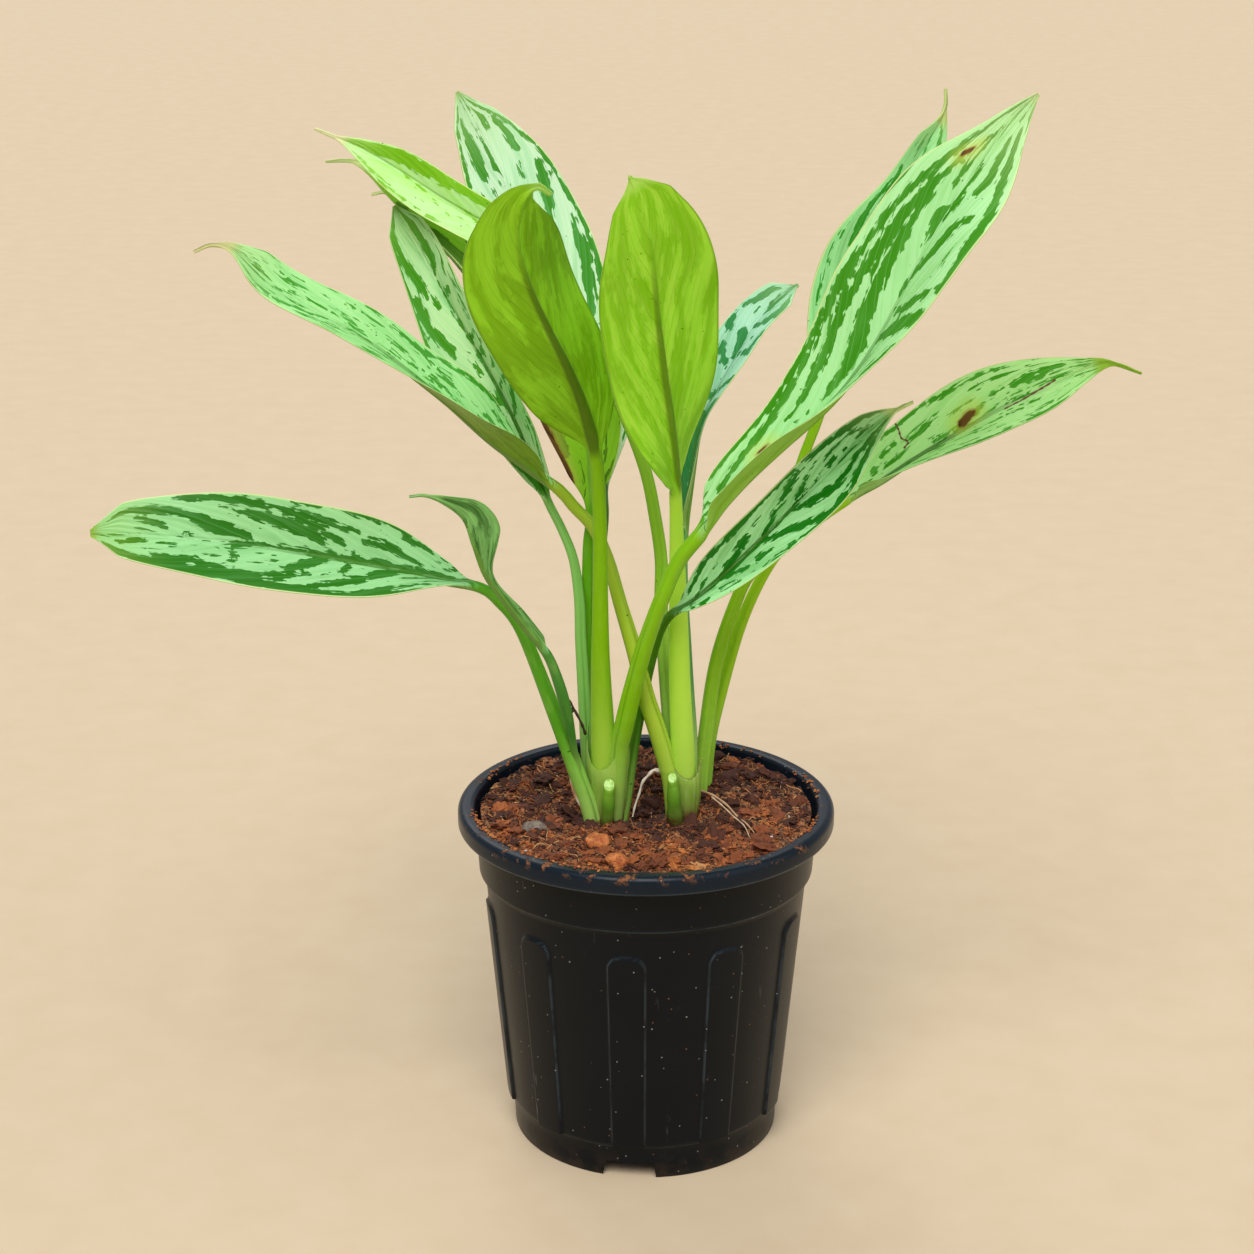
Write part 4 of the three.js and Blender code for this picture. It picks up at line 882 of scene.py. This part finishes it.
            [(73, 3, 2), (60, -2, 3), (40, -3, 4), (20, -3, 6)], [(54, 12, 5), (55, 38, 3)], [(49, 3, 7),
            (49, 30, 6), (53, 48, 3)], [(40, 80, 5), (38.5, 30, 4), (35, 8, 3)], [(37, 95, 6), (33, 60, 8),
            (29, 30, 4), (27, 3, 3)], [(50, -25, 4), (43, -20, 5)], [(41, -42, 3), (33, -20, 4)],
            [(15, -85, 10), (8, -50, 20), (4, 30, 20)]]),
    "young_lower_leaf": dict(
        stalk=[(-17.5, 8, 121), (-18, 10, 132), (-19.5, 13, 146), (-20, 15.5, 159.5), (-20.5, 17, 174),
            (-20.5, 18, 188), (-20, 19, 207.5)],
        rib=[(-19, 19.5, 218), (-19.5, 22, 240.5), (-23.5, 25, 257), (-32, 29, 273.5), (-40, 34, 287.5),
            (-50.5, 38, 301.5), (-62.5, 43, 313), (-74.5, 47, 320), (-84.5, 50, 326), (-93.5, 52, 331),
            (-101, 54, 333), (-109.5, 56, 332.5)],
        half_widths=(6.5, 15, 12.5, 11, 5.5), face=(0.2, -0.7, 0.6), turn=(-15, -10, -15),
        fold_left=(15, 15), fold_right=(30, 30), arch=0.12, thread=0.08, stalk_width=(5, 4, 3.6),
        slot="young_leaf", look=dict(pale="9cde27", green="90cc20", dark="568a08", edge_colour="e6f8a0",
            under="b4e050", under_light="c8f080", stalk="6dbb05", rib="8cc840", tip="dcf09c", share=0.36),
        streaks=[[(15, -90, 30), (40, -85, 22), (60, -85, 20), (80, -90, 15)], [(70, 50, 3), (66, 30, 3)]],
        wounds=[[(2, -90, 12), (15, -97, 10), (30, -100, 7)]]),
    "shaded_back_leaf": dict(
        stalk=[(-14, 9, 121), (-16, 16, 135.5), (-17, 22, 157.5), (-17, 27, 178), (-18, 31, 198.5),
            (-19.5, 34, 219), (-23.5, 37, 236.5)],
        rib=[(-30.5, 39, 249.5), (-39, 42, 263.5), (-50.5, 47, 279.5), (-62, 52, 294.5), (-74.5, 56, 308.5),
            (-85, 60, 318.5), (-90, 62, 321), (-95, 64, 320)],
        half_widths=(4, 10.5, 12.5, 13.5, 3), face=(0.5, 0.2, 0.8), turn=(-10, -10, -20), fold_left=(30, 5),
        fold_right=(60, 40), arch=0.12, thread=0.12, stalk_width=(4, 3.5, 3),
        slot="olive_leaf", look=dict(pale="a8d850", green="84b430", dark="4c8410", under="80a814",
            under_light="9cc43c", stalk="7cb038")),
    "tall_back_leaf": dict(
        stalk=[(-11.5, 9.5, 123), (-14.5, 13, 142), (-15.3, 16, 167), (-15.7, 20, 187.5), (-15.5, 24, 203)],
        rib=[(-14.5, 29, 216), (-15.5, 33, 230.5), (-19.5, 40, 249.5), (-25.5, 48, 269), (-32.5, 55, 288.5),
            (-38.5, 60, 305), (-47.5, 64, 321.5), (-54, 67, 333.5), (-59.5, 69, 343), (-66.5, 71, 356)],
        half_widths=(2.5, 18.5, 21, 20, 9.5), face=(0.1, -0.8, 0.5), turn=(20, 20, 5), fold_left=(20, 25),
        fold_right=(10, 15), arch=0.1, thread=0.015, stalk_width=(4.4, 3.6, 3),
        slot="leaf", look=dict(clear=2, pale="d9f9d2", green="90e098", dark="3c9410", stalk="5c8c28",
            tip="b8e07c", breadth=20, length=0.5),
        streaks=[[(92, -62, 7), (88, -52, 16), (83, -48, 19), (79, -50, 12)], [(91, 70, 7), (87, 63, 10),
            (82, 55, 6)], [(96, 50, 8), (90, 85, 6), (80, 95, 5)], [(78, 76, 6), (73, 66, 10), (69, 55, 12),
            (65, 40, 6)], [(63, 75, 5), (57, 72, 10), (50, 65, 12), (44, 55, 8)], [(38, 90, 6), (55, 93, 6),
            (70, 94, 5), (80, 93, 3)], [(71, 10, 3), (75, 10, 2)], [(77, -18, 3), (75, -12, 2)],
            [(76, -43, 5), (74, -42, 3)], [(95, -80, 8), (86, -93, 5), (72, -95, 6)], [(97, -30, 5),
            (94, -15, 4)], [(20, 30, 6), (16, 50, 10), (12, 75, 7)]]),
    "pale_left_leaf": dict(
        stalk=[(10.6, 3.4, 110), (9, 2, 126.6), (7, 1.5, 135.5), (3.5, 1, 148), (0, 2, 158.5), (-4, 5, 174),
            (-9, 9.5, 190), (-13, 12, 204), (-18, 13, 215.5), (-24.5, 14, 222.5)],
        rib=[(-29.5, 14, 228.5), (-39.5, 14, 236), (-52.5, 13, 246), (-65.5, 11, 258.5), (-75, 9, 267),
            (-88, 6, 278.5), (-100.5, 3, 287.5), (-113, 0, 295.5), (-122, -2, 302), (-132.5, -4, 313),
            (-139.5, -5, 315.5), (-145.5, -6, 313.5)],
        half_widths=(6, 16, 12.5, 11, 8), face=(0.3, -0.6, 0.7), turn=(30, 5, 35), fold_left=(85, 0),
        fold_right=(5, 40), arch=0.09, thread=0.08, stalk_width=(6.6, 6.4, 4.8, 4),
        slot="leaf", look=dict(clear=1, pale="b9f9a5", green="88e07c", dark="46a426", under="6f9a10",
            under_light="8fbc30", stalk="a9c82c", foot="b4dc50", tip="d8d890", share=0.37, breadth=9,
            length=0.2),
        streaks=[[(20, 95, 6), (30, 92, 8), (38, 85, 6), (46, 80, 6), (52, 83, 5)], [(41, 30, 4),
            (40, 60, 4), (43, 75, 3)], [(55, 35, 4), (54, 45, 3)], [(80, -10, 6), (75, 22, 6), (67, 25, 4)],
            [(78, -75, 8), (70, -40, 10), (66, -10, 5)], [(87, 38, 4), (86, 44, 3)], [(80, 63, 3),
            (79, 63, 3)], [(63, 70, 5), (61, 68, 4)]]),
    "front_right_leaf": dict(
        stalk=[(13.2, 4.5, 126.6), (12.5, 4, 140), (11.5, 3, 160.5), (11, 1.5, 179.5), (10.5, -1, 198),
            (10, -5, 217)],
        rib=[(9.5, -10, 233), (8, -18, 254.5), (5.5, -25, 276), (3, -32, 297), (1, -40, 319),
            (-1.5, -45, 332.5), (-3.5, -48, 340.5), (-5.5, -50, 345)],
        half_widths=(7, 18, 22.5, 20, 10), face=(0, 0.9, 0.3), turn=(65, 40, 45), fold_left=(15, -15),
        fold_right=(-10, 20), arch=0.14, thread=0, stalk_width=(8.6, 6.8, 4.2),
        slot="bright_leaf", look=dict(tip_from=0.97, under="a1eb02", under_light="cff953",
            under_rib="6c8c08", tip="d4f87c", through=0.42, stalk="d3f957", foot="d4f864", share=0.5,
            ribbed=0.02)),
    "young_upper_leaf": dict(
        stalk=[(10.5, 8.5, 126.6), (9, 10, 136), (7.5, 11.5, 152), (6, 13, 171.5), (5, 15, 189),
            (5, 16, 203), (3, 15, 218), (-0.5, 14, 235.5), (-7.5, 14, 254.5), (-15.5, 15, 270.5)],
        rib=[(-24, 16, 283), (-33, 18, 295.5), (-43, 22, 306.5), (-52, 27, 315), (-60.5, 31, 319.5),
            (-70, 34, 324.5), (-80, 37, 330.5), (-90, 40, 336), (-99.5, 43, 340.5), (-111.5, 46, 345)],
        half_widths=(3, 7, 9, 9, 4), face=(0.2, -0.6, 0.7), turn=(-30, -30, -20), fold_left=(25, 20),
        fold_right=(40, 40), arch=0.12, thread=0.09, stalk_width=(5, 4.4, 3.6),
        slot="young_leaf", look=dict(clear=1.6, pale="c8f8a4", green="b0f060", dark="80c80c",
            edge_colour="e6f8a0", under="a8e038", under_light="c0f068", stalk="98d030", rib="90cc40",
            tip="eef0b4", share=0.3),
        streaks=[[(97, 55, 40), (86, 50, 36), (74, 62, 30), (60, 75, 26), (45, 85, 20), (20, 90, 20)],
            [(90, -72, 5), (75, -84, 7), (60, -90, 6)], [(70, 0, 6), (62, -12, 5)], [(58, -25, 5),
            (52, -50, 4)], [(48, 10, 6), (42, -20, 4)]]),
    "small_back_leaf": dict(
        stalk=[(15.8, 8.5, 126.6), (16, 14, 139), (15, 18, 155), (14, 20, 173), (13, 21, 191)],
        rib=[(13, 22, 208.5), (15, 24, 226), (18, 27, 246), (23, 29, 258), (31.5, 32, 273), (36.5, 34, 281),
            (43, 36, 288), (51, 38, 294)],
        half_widths=(3.5, 9, 13.5, 11, 6.5), face=(-0.2, -0.8, 0.5), turn=(-60, -35, -5),
        fold_left=(20, 30), fold_right=(50, 20), arch=0.08, thread=0, stalk_width=(4, 3.2, 2.6),
        slot="leaf", look=dict(thin=-0.25, pale="bcf0d4", green="6cbc84", dark="2a8c42", stalk="62a85c",
            tip="b0e090", share=0.58),
        streaks=[[(93, -60, 10), (90, -60, 15), (86, -70, 12), (83, -87, 8)], [(80, -92, 6), (76, -80, 12),
            (74, -65, 7)], [(76, -25, 10), (73, -10, 14), (67, -5, 8)], [(68, -60, 7), (66, -42, 11),
            (63, -15, 10)], [(95, 70, 13), (88, 78, 20), (83, 60, 12), (80, 25, 6), (79, 5, 4)],
            [(78, 95, 6), (70, 75, 8), (69, 30, 5), (68, 10, 4)], [(60, 95, 10), (56, 60, 6), (54, 20, 6),
            (51, -10, 10)], [(85, -35, 3), (83, -30, 2)]]),
    "tall_right_leaf": dict(
        stalk=[(18, 18, 103), (18.5, 18, 113), (20.5, 19, 134.5), (24.5, 21, 165), (32.5, 23, 190),
            (38.5, 24, 200), (47.5, 27, 218), (54, 31, 236.5)],
        rib=[(59, 33, 250), (63.5, 36, 265), (69, 40, 285), (75, 45, 301), (82.5, 50, 317),
            (91.5, 55, 333.5), (98.5, 58, 344.5), (101, 60, 351), (101, 61, 356.5)],
        half_widths=(5, 16, 21, 10, 7), face=(-0.3, -0.7, 0.6), turn=(45, 45, 50), fold_left=(15, 45),
        fold_right=(15, 15), arch=0.09, thread=0.09, stalk_width=(5.8, 4.6, 3.4),
        slot="leaf", look=dict(thin=0.6, pale="a7f5a7", green="7cc870", dark="269e06", stalk="8dc305",
            foot="a8d850", tip="c8dc84", breadth=16),
        streaks=[[(68, -82, 8), (60, -74, 10), (52, -62, 12), (45, -50, 7)], [(76, -84, 6), (70, -62, 14),
            (63, -42, 17), (56, -28, 9)], [(92, -90, 10), (92, 0, 10), (88, 45, 10), (80, 74, 12),
            (72, 86, 8)], [(87, -25, 5), (84, 0, 7), (78, 15, 5)], [(86, 42, 6), (80, 58, 9), (74, 70, 7)],
            [(30, -85, 5), (42, -85, 6), (52, -90, 5)]]),
    "far_right_leaf": dict(
        stalk=[(20, 24, 103), (20.5, 24.5, 113), (22, 26, 131.5), (25.5, 28, 148), (33.5, 32, 176),
            (43.5, 34, 197), (53.5, 35, 207)],
        rib=[(68.5, 36, 218), (80.5, 37, 224.5), (92.5, 37, 233), (107.5, 36, 243), (120.5, 34, 251.5),
            (133.5, 32, 258.5), (146.5, 30, 265.5), (156, 27, 269.5), (166.5, 25, 266.5)],
        half_widths=(12, 14.5, 17, 13.5, 5.5), face=(-0.2, -0.6, 0.8), turn=(-10, 10, 30),
        fold_left=(25, 30), fold_right=(70, 10), arch=0.04, thread=0.13, stalk_width=(5.6, 4.4, 3.4),
        slot="leaf", look=dict(through=0.42, clear=1, pale="d2ffb2", green="a8ee88", dark="48a60e",
            stalk="b4e01e", foot="b8e85c", tip="a8d040", share=0.35, breadth=9, length=0.2),
        streaks=[[(10, -96, 6), (30, -93, 3), (42, -88, 5), (55, -88, 3), (65, -86, 3)], [(78, -64, 5),
            (72, -60, 10), (66, -50, 10), (61, -42, 5)], [(70, -40, 5), (66, -37, 5)], [(58, -45, 5),
            (52, -33, 7), (47, -18, 5)], [(80, 10, 5), (84, 30, 5), (87, 50, 4)], [(30, 97, 5), (50, 95, 6),
            (75, 96, 6)], [(71, 38, 3), (69, 38, 3)], [(61, 40, 4), (57, 36, 4)], [(70, 68, 4),
            (62, 70, 5)], [(22, -62, 7), (17, -55, 5)], [(14, -40, 7), (12, -36, 7)], [(93, 20, 10),
            (90, -50, 8)]],
        wounds=[[(47, -25, 7), (43, -15, 10)]]),
}

# The blade from midrib to edge: four steps over the midrib, then thirteen out to the edge
RIB_STEPS = np.array([0, 0.35, 0.7, 1.0])
BLADE_STEPS = np.array([0.08, 0.16, 0.24, 0.33, 0.42, 0.51, 0.6, 0.69, 0.77, 0.85, 0.92, 0.97, 1.0])
EDGE_RIPPLE, RIPPLE_LENGTH, HALF_THICKNESS = 0.5, 6.5, 0.34
# How finely a leaf is laid out, and the share of its blade after which it tapers to the tip
SPAN_STEPS, STALK_STEP, BLADE_RINGS, THREAD_RINGS, TAPER_FROM = 24, 3.2, 110, 9, 0.93


def unit(rows):
    return rows / np.linalg.norm(rows, axis=-1, keepdims=True)


def spread(values, share):
    return read(np.array([values[0], *values, values[-1]], float), share)


def ease(value, low, high):
    t = np.clip((value - low) / (high - low), 0, 1)
    return t * t * (3 - 2 * t)


def grow(leaf):
    """The leaf's rings of points, with the figures that its finish reads at each: how far across
    and along the blade in mm, the share of the way to the edge; and which face, how far towards
    the tip, and how far up the stalk."""
    knots = np.array([*leaf["stalk"], *leaf["rib"]], float)
    fine = smooth(knots, SPAN_STEPS)
    run = np.concatenate([[0], np.cumsum(np.linalg.norm(np.diff(fine, axis=0), axis=1))])
    stalk_length = run[SPAN_STEPS * len(leaf["stalk"])]
    blade_length = run[-1] - stalk_length
    stalk_at = np.arange(0, stalk_length - 1, STALK_STEP)
    t = (1 - np.cos(np.linspace(0, math.pi, BLADE_RINGS))) / 2 * (1 - leaf["thread"])
    if leaf["thread"] > 0.05:
        t = np.concatenate([t, np.linspace(1 - leaf["thread"], 1, THREAD_RINGS)[1:]])
    at = np.concatenate([stalk_at, stalk_length + blade_length * t])
    t = np.concatenate([0 * stalk_at, t])
    up_stalk = np.clip(at / stalk_length, 0, 1)

    centre, ahead, behind = (np.stack([np.interp(at + shift, run, fine[:, k]) for k in range(3)], axis=1)
                             for shift in (0, 0.8, -0.8))
    forward = unit(ahead - behind)

    base, middle, tip = leaf["turn"]
    turn = np.radians(middle + (np.where(t < 0.5, base, tip) - middle) * (1 - 2 * t) ** 2)[:, None]
    face = np.array(leaf["face"], float)
    upper = unit(face - forward * (forward @ face)[:, None])
    upper = upper * np.cos(turn) + np.cross(forward, upper) * np.sin(turn)
    right = np.cross(forward, upper)

    share = np.clip(t / (1 - leaf["thread"]), 0, 1)
    neck = leaf["stalk_width"][-1] / 2
    half_widths = [neck, *leaf["half_widths"], 0.35]
    width = spread(half_widths, np.arccos(1 - 2 * share) / math.pi)
    ends, tip_at = TAPER_FROM * (1 - leaf["thread"]), 1 - 0.5 * leaf["thread"]
    taper = np.clip((tip_at - t) / (tip_at - ends), 0, 1) ** leaf.get("point", 1.15)
    last = spread(half_widths, np.array([np.arccos(1 - 2 * TAPER_FROM) / math.pi]))[0]
    width = np.where(t > ends, last * taper, width)
    width = np.maximum(width, leaf.get("flap", 0.65) * (1 - 0.5 * ease(t, tip_at - 1e-6, 1)))[:, None]
    rib = (neck + (0.4 - neck) * np.minimum(t, 1) ** 0.7)[:, None]
    flat = ease(t, 0, 0.09)[:, None]
    inner = np.clip(rib / width, 0.1, 0.35)

    steps = np.concatenate([inner * RIB_STEPS, inner + (1 - inner) * BLADE_STEPS], axis=1)
    station = np.concatenate([-steps[:, :0:-1], steps], axis=1)
    side = np.sign(station)
    reach = np.abs(station)
    out = reach * width
    lean = np.where(side < 0, *(leaf[k][0] + (leaf[k][1] - leaf[k][0]) * t[:, None]
                                for k in ("fold_left", "fold_right")))
    lean = np.radians(lean)
    gutter = 0.07 * width
    raised = np.sqrt(out ** 2 + gutter ** 2) - gutter
    along_blade = (blade_length * t)[:, None]
    ripple = EDGE_RIPPLE * reach ** 2.5 * np.sin(along_blade / RIPPLE_LENGTH + side * 1.3)
    ripple = ripple * np.minimum(width / 8, 1)
    rise_up = raised * np.sin(lean) - leaf["arch"] * out * reach + ripple
    turned_side = side * np.sin(lean) * np.minimum(reach * 6, 1)
    outward = upper[:, None, :] * np.cos(lean)[..., None] - right[:, None, :] * turned_side[..., None]
    middle_line = (centre[:, None, :] + right[:, None, :] * (side * out * np.cos(lean))[..., None]
                   + upper[:, None, :] * rise_up[..., None])
    depth = HALF_THICKNESS * np.sqrt(1 - 0.88 * reach ** 6)
    keel = np.sqrt(np.clip(1 - (out / (rib + 0.2)) ** 2, 0, 1)) * rib
    over = middle_line + outward * depth[..., None]
    under = middle_line - outward * (depth + keel)[..., None]

    # The stalk: round below, with a groove up its face where the old sheath edges meet
    stalk_radius = spread(leaf["stalk_width"], up_stalk)[:, None] / 2
    count = station.shape[1]
    angle = math.pi * (1 - (np.arange(count) + 0.5) / count)[None, :]
    groove = 0.3 * np.exp(-((angle - math.pi / 2) / 0.42) ** 2) * (1 - ease(up_stalk, 0.25, 0.95))[:, None]
    stalk_over = stalk_radius * (1 - groove)
    stalk_out = right[:, None, :] * np.cos(angle)[..., None]
    stalk_up = upper[:, None, :] * np.sin(angle)[..., None]
    round_over = centre[:, None, :] + (stalk_out + stalk_up) * stalk_over[..., None]
    round_under = centre[:, None, :] + (stalk_out - stalk_up) * stalk_radius[..., None]
    over = round_over + (over - round_over) * flat[..., None]
    under = round_under + (under - round_under) * flat[..., None]

    def carried(*figures):
        return np.stack([np.broadcast_to(v, station.shape) for v in figures], axis=-1)

    before_blade = (stalk_length - at)[:, None] * (t[:, None] == 0)
    place = carried(side * out, along_blade - before_blade, reach * flat)
    stage = carried(1, t[:, None], up_stalk[:, None])
    rings = np.concatenate([over, under[:, ::-1]], axis=1)
    places = np.concatenate([place, place[:, ::-1]], axis=1)
    stages = np.concatenate([stage, stage[:, ::-1] * (0, 1, 1)], axis=1)
    return rings, places.reshape(-1, 3), stages.reshape(-1, 3)


def inside(streaks, places, stages, wide):
    """How deep each point lies inside the nearest listed streak, in mm, and below 0 outside it.
    The routes of the streaks are in percent."""
    t, s = stages[:, 1], np.sign(places[:, 0]) * places[:, 2]
    long = places[:, 1].max()
    depth = np.full(len(t), -9.0)
    for line in streaks:
        line = np.array(line) / 100
        for (t0, s0, w0), (t1, s1, w1) in zip(line, line[1:]):
            run, sway = (t1 - t0) * long, (s1 - s0) * wide
            dt, ds = (t - t0) * long, (s - s0) * wide
            k = np.clip((dt * run + ds * sway) / (run * run + sway * sway), 0, 1)
            depth = np.maximum(depth, (w0 + (w1 - w0) * k) * wide - np.hypot(dt - k * run, ds - k * sway))
    return depth


# The cells that make up the flecks: their length in mm along the vein, their breadth as a share of the
# blade's half width, and how far the side veins are from each other in mm
CELL_LENGTH, CELL_BREADTH, VEIN_SPACING = 4.4, 0.045, 7.5


def leaf_finish(name, seed, wide, thread_from, pale="c4f2ae", green="9ad886", dark="3f8a18",
                edge_colour="dcf2a6", tip="e0f0a0", under="7db84a", under_light="b0dc80", rib="4d8a2c",
                under_rib="6f9c38", stalk="86bf4e", foot="a4c860", share=0.45, breadth=19, length=0.42,
                ribbed=0.04, gloss=0.4, through=0.18, tip_from=None, thin=0.0, clear=2.6):
    """The finish of a leaf: a pale ground with dark flecks along the veins, a dark midrib, a thin
    yellow edge, a yellower back where the flecks show only faintly, and a fleshy stalk. share,
    breadth and length are of the flecks that grow by themselves; thin is shaved off all of them, and
    clear is how far they keep from those that are listed."""
    leaf_skin = Surface(name)
    blend, clouds, specks = leaf_skin.blend, leaf_skin.clouds, leaf_skin.specks
    figure, vector = leaf_skin.figure, leaf_skin.vector
    tip_from = tip_from or thread_from
    across, along, edge = leaf_skin.parts(figure("blade_place", "Vector"))
    face, towards_tip, up_stalk = leaf_skin.parts(figure("blade_stage", "Vector"))
    laid = figure("streak")
    hurt = figure("wound")

    # A vein is named by where it leaves the midrib, and the side it is on
    spot = vector(across, along, seed)
    wander = clouds(spot, 16, 2) - 0.5
    vein = along - edge * wide * (edge * 1.1 + 1.9) + wander * 9
    which = (across > 0) * 31 + seed
    out = abs(across)
    grain = clouds(vector(across / 0.7, along / 9, seed), 1, 3)
    soft = clouds(vector(vein / 9, edge * 2.2, which), 1, 3)
    fine = clouds(vector(vein / 2.2, edge * 5, which), 1, 2)

    # Flecks are made of small cells that are each wholly dark or wholly pale, so their edges step.
    # Those that are listed come first; others grow by themselves where none are near.
    cells = vector(vein / CELL_LENGTH, edge / CELL_BREADTH, which)
    cell_vein, cell_edge, _ = leaf_skin.parts(specks(cells, 1, output="Position", metric="CHEBYCHEV"))
    cell_vein, cell_edge = cell_vein * CELL_LENGTH, cell_edge * CELL_BREADTH
    broad = clouds(vector(cell_vein / breadth, cell_edge / length, which), 1, 1)
    narrow = clouds(vector(cell_vein / (breadth * 0.4), cell_edge / (length * 0.4), which), 1, 1)
    wild = (broad * 1.3 + narrow * 0.7 - 1.5 + share) * 10 + laid.step(-clear, -clear * 1.8) * 9 - 9
    lots = specks(vector(vein / CELL_LENGTH, edge / 0.08, which), 1, output="Color", metric="CHEBYCHEV")
    chance = leaf_skin.parts(lots)[0]
    jagged = (chance - 0.5) * 1.3 + (clouds(spot, 3.2, 1) - 0.5) * 2.6
    depth = laid.atleast(wild) - thin + jagged
    fleck = depth.step(-0.14, 0.14)

    rib_line = (out - (1 - towards_tip) * 1.1 - 0.3).step(0.35, -0.15)
    side_vein = (vein * (math.tau / VEIN_SPACING)).cosine()
    vein_line = side_vein.step(0.86, 1.0) * edge.step(1.0, 0.6) * towards_tip.step(0.0, 0.1)
    pale_ground = blend(soft.step(0.42, 0.72) * 0.5, pale, green)
    pale_ground = blend(fine.step(0.52, 0.75) * 0.15, pale_ground, green)
    dark_green = blend(soft.step(0.4, 0.75) * 0.22, dark, green)
    colour = blend(fleck, pale_ground, dark_green)
    colour = blend(vein_line * 0.22, colour, green)
    colour = blend(rib_line * towards_tip.step(0.75, 0.3) * 0.8, colour, rib)
    colour = blend(towards_tip.step(0.75, 1.0) * 0.35, colour, tip)
    colour = blend(edge.step(0.965, 0.99), colour, edge_colour)

    shaded_through = (depth + soft * 3).step(2.2, -0.9)
    dapple = clouds(vector(cell_vein / 5, cell_edge / 0.2, which), 1, 2)
    back = shaded_through * 0.3 + dapple.step(0.38, 0.66) * 0.3 + soft * 0.3 - fleck * 0.25 + 0.2
    back = blend(back, under, under_light)
    back = blend(vein_line * 0.2, back, under_rib)
    back_rib = (out - (1 - towards_tip) * 1.5 - 0.3).step(0.6, -0.3)
    back = blend(back_rib * towards_tip.step(0.92, 0.5) * 0.8, back, under_rib)
    back = blend(edge.step(0.95, 0.99) * 0.5, back, under_rib)
    colour = blend(face.step(0.4, 0.6), back, colour)
    colour = blend(towards_tip.step(tip_from - 0.03, tip_from + 0.01), colour, tip)

    stem = blend(up_stalk.step(0.02, 0.45), foot, stalk)
    stem = blend(grain.step(0.45, 0.8) * 0.25, stem, foot)
    colour = blend(towards_tip.step(0.0, 0.05), stem, colour)
    spots = specks(spot, 3.5)
    chosen = clouds(spot, 22, 1).step(0.5, 0.6)
    colour = blend(spots.step(0.1, 0.06) * chosen * 0.75, colour, "2c4a12")
    colour = blend((hurt + soft * 2).step(-5.5, 0.5) * 0.45, colour, "dce860")
    colour = blend((hurt + jagged * 0.5).step(-0.9, -0.1) * 0.6, colour, "b0903a")
    colour = blend((hurt + jagged * 0.5).step(-0.2, 0.3), colour,
                   blend(soft.step(0.4, 0.6), "4a2810", "7a5420"))

    ridges = side_vein * edge.step(1.0, 0.7) * towards_tip.step(0, 0.1)
    height = (ridges * ribbed + grain * 0.02 + soft * 0.3 - out.step(1.3, 0.3) * 0.25 * face
              + fleck * 0.03)
    leaf_skin.coat(colour, gloss + grain * 0.1 - towards_tip.step(0.03, 0.0) * 0.08, height,
                   through=through, **{"Specular IOR Level": 0.32})
    return leaf_skin


blades = {}
for number, (name, leaf) in enumerate(LEAVES.items()):
    wide = max(leaf["half_widths"])
    rings, places, stages = grow(leaf)
    points, faces = skin(rings)
    streak = inside(leaf.get("streaks", []), places, stages, wide)
    wound = inside(leaf.get("wounds", []), places, stages, wide)
    leaf_skin = leaf_finish(name + "_skin", 3.7 * number, wide, 1 - leaf["thread"], **leaf["look"])
    piece("grown_" + name, points, faces, leaf_skin, leaf["slot"], name,
          blade_place=places, blade_stage=stages, streak=streak, wound=wound)
    blades[name] = (points, places, stages, wide)


def on_blade(name, along, across):
    """The place on a leaf's upper face at a share of the way along it and across it."""
    points, places, stages, wide = blades[name]
    s = np.sign(places[:, 0]) * places[:, 2]
    away = np.hypot((stages[:, 1] - along) * places[:, 1].max(), (s - across) * wide)
    away += 9 * (stages[:, 0] < 0.5)
    near = np.argsort(away)[:5]
    weight = 1 / (away[near] + 0.05)
    return (points[near] * weight[:, None]).sum(0) / weight.sum()


# Old scratches, healed over in thin red-brown lines
scratches = [
    ("long_scratch", "far_right_leaf", [(.56, .08), (.61, .04), (.66, -.02), (.7, -.08), (.735, -.15)]),
    ("bent_scratch", "far_right_leaf", [(.257, -1), (.255, -.8), (.25, -.62), (.262, -.46), (.24, -.38)]),
]
for name, leaf, route in scratches:
    line = smooth([on_blade(leaf, *at) for at in route], 6)
    points, faces = skin(thread(line, 0.3 + 0.12 * np.sin(np.arange(len(line)) * 1.7), 6))
    piece(name, points, faces, dry, "leaf", tone=0.33)
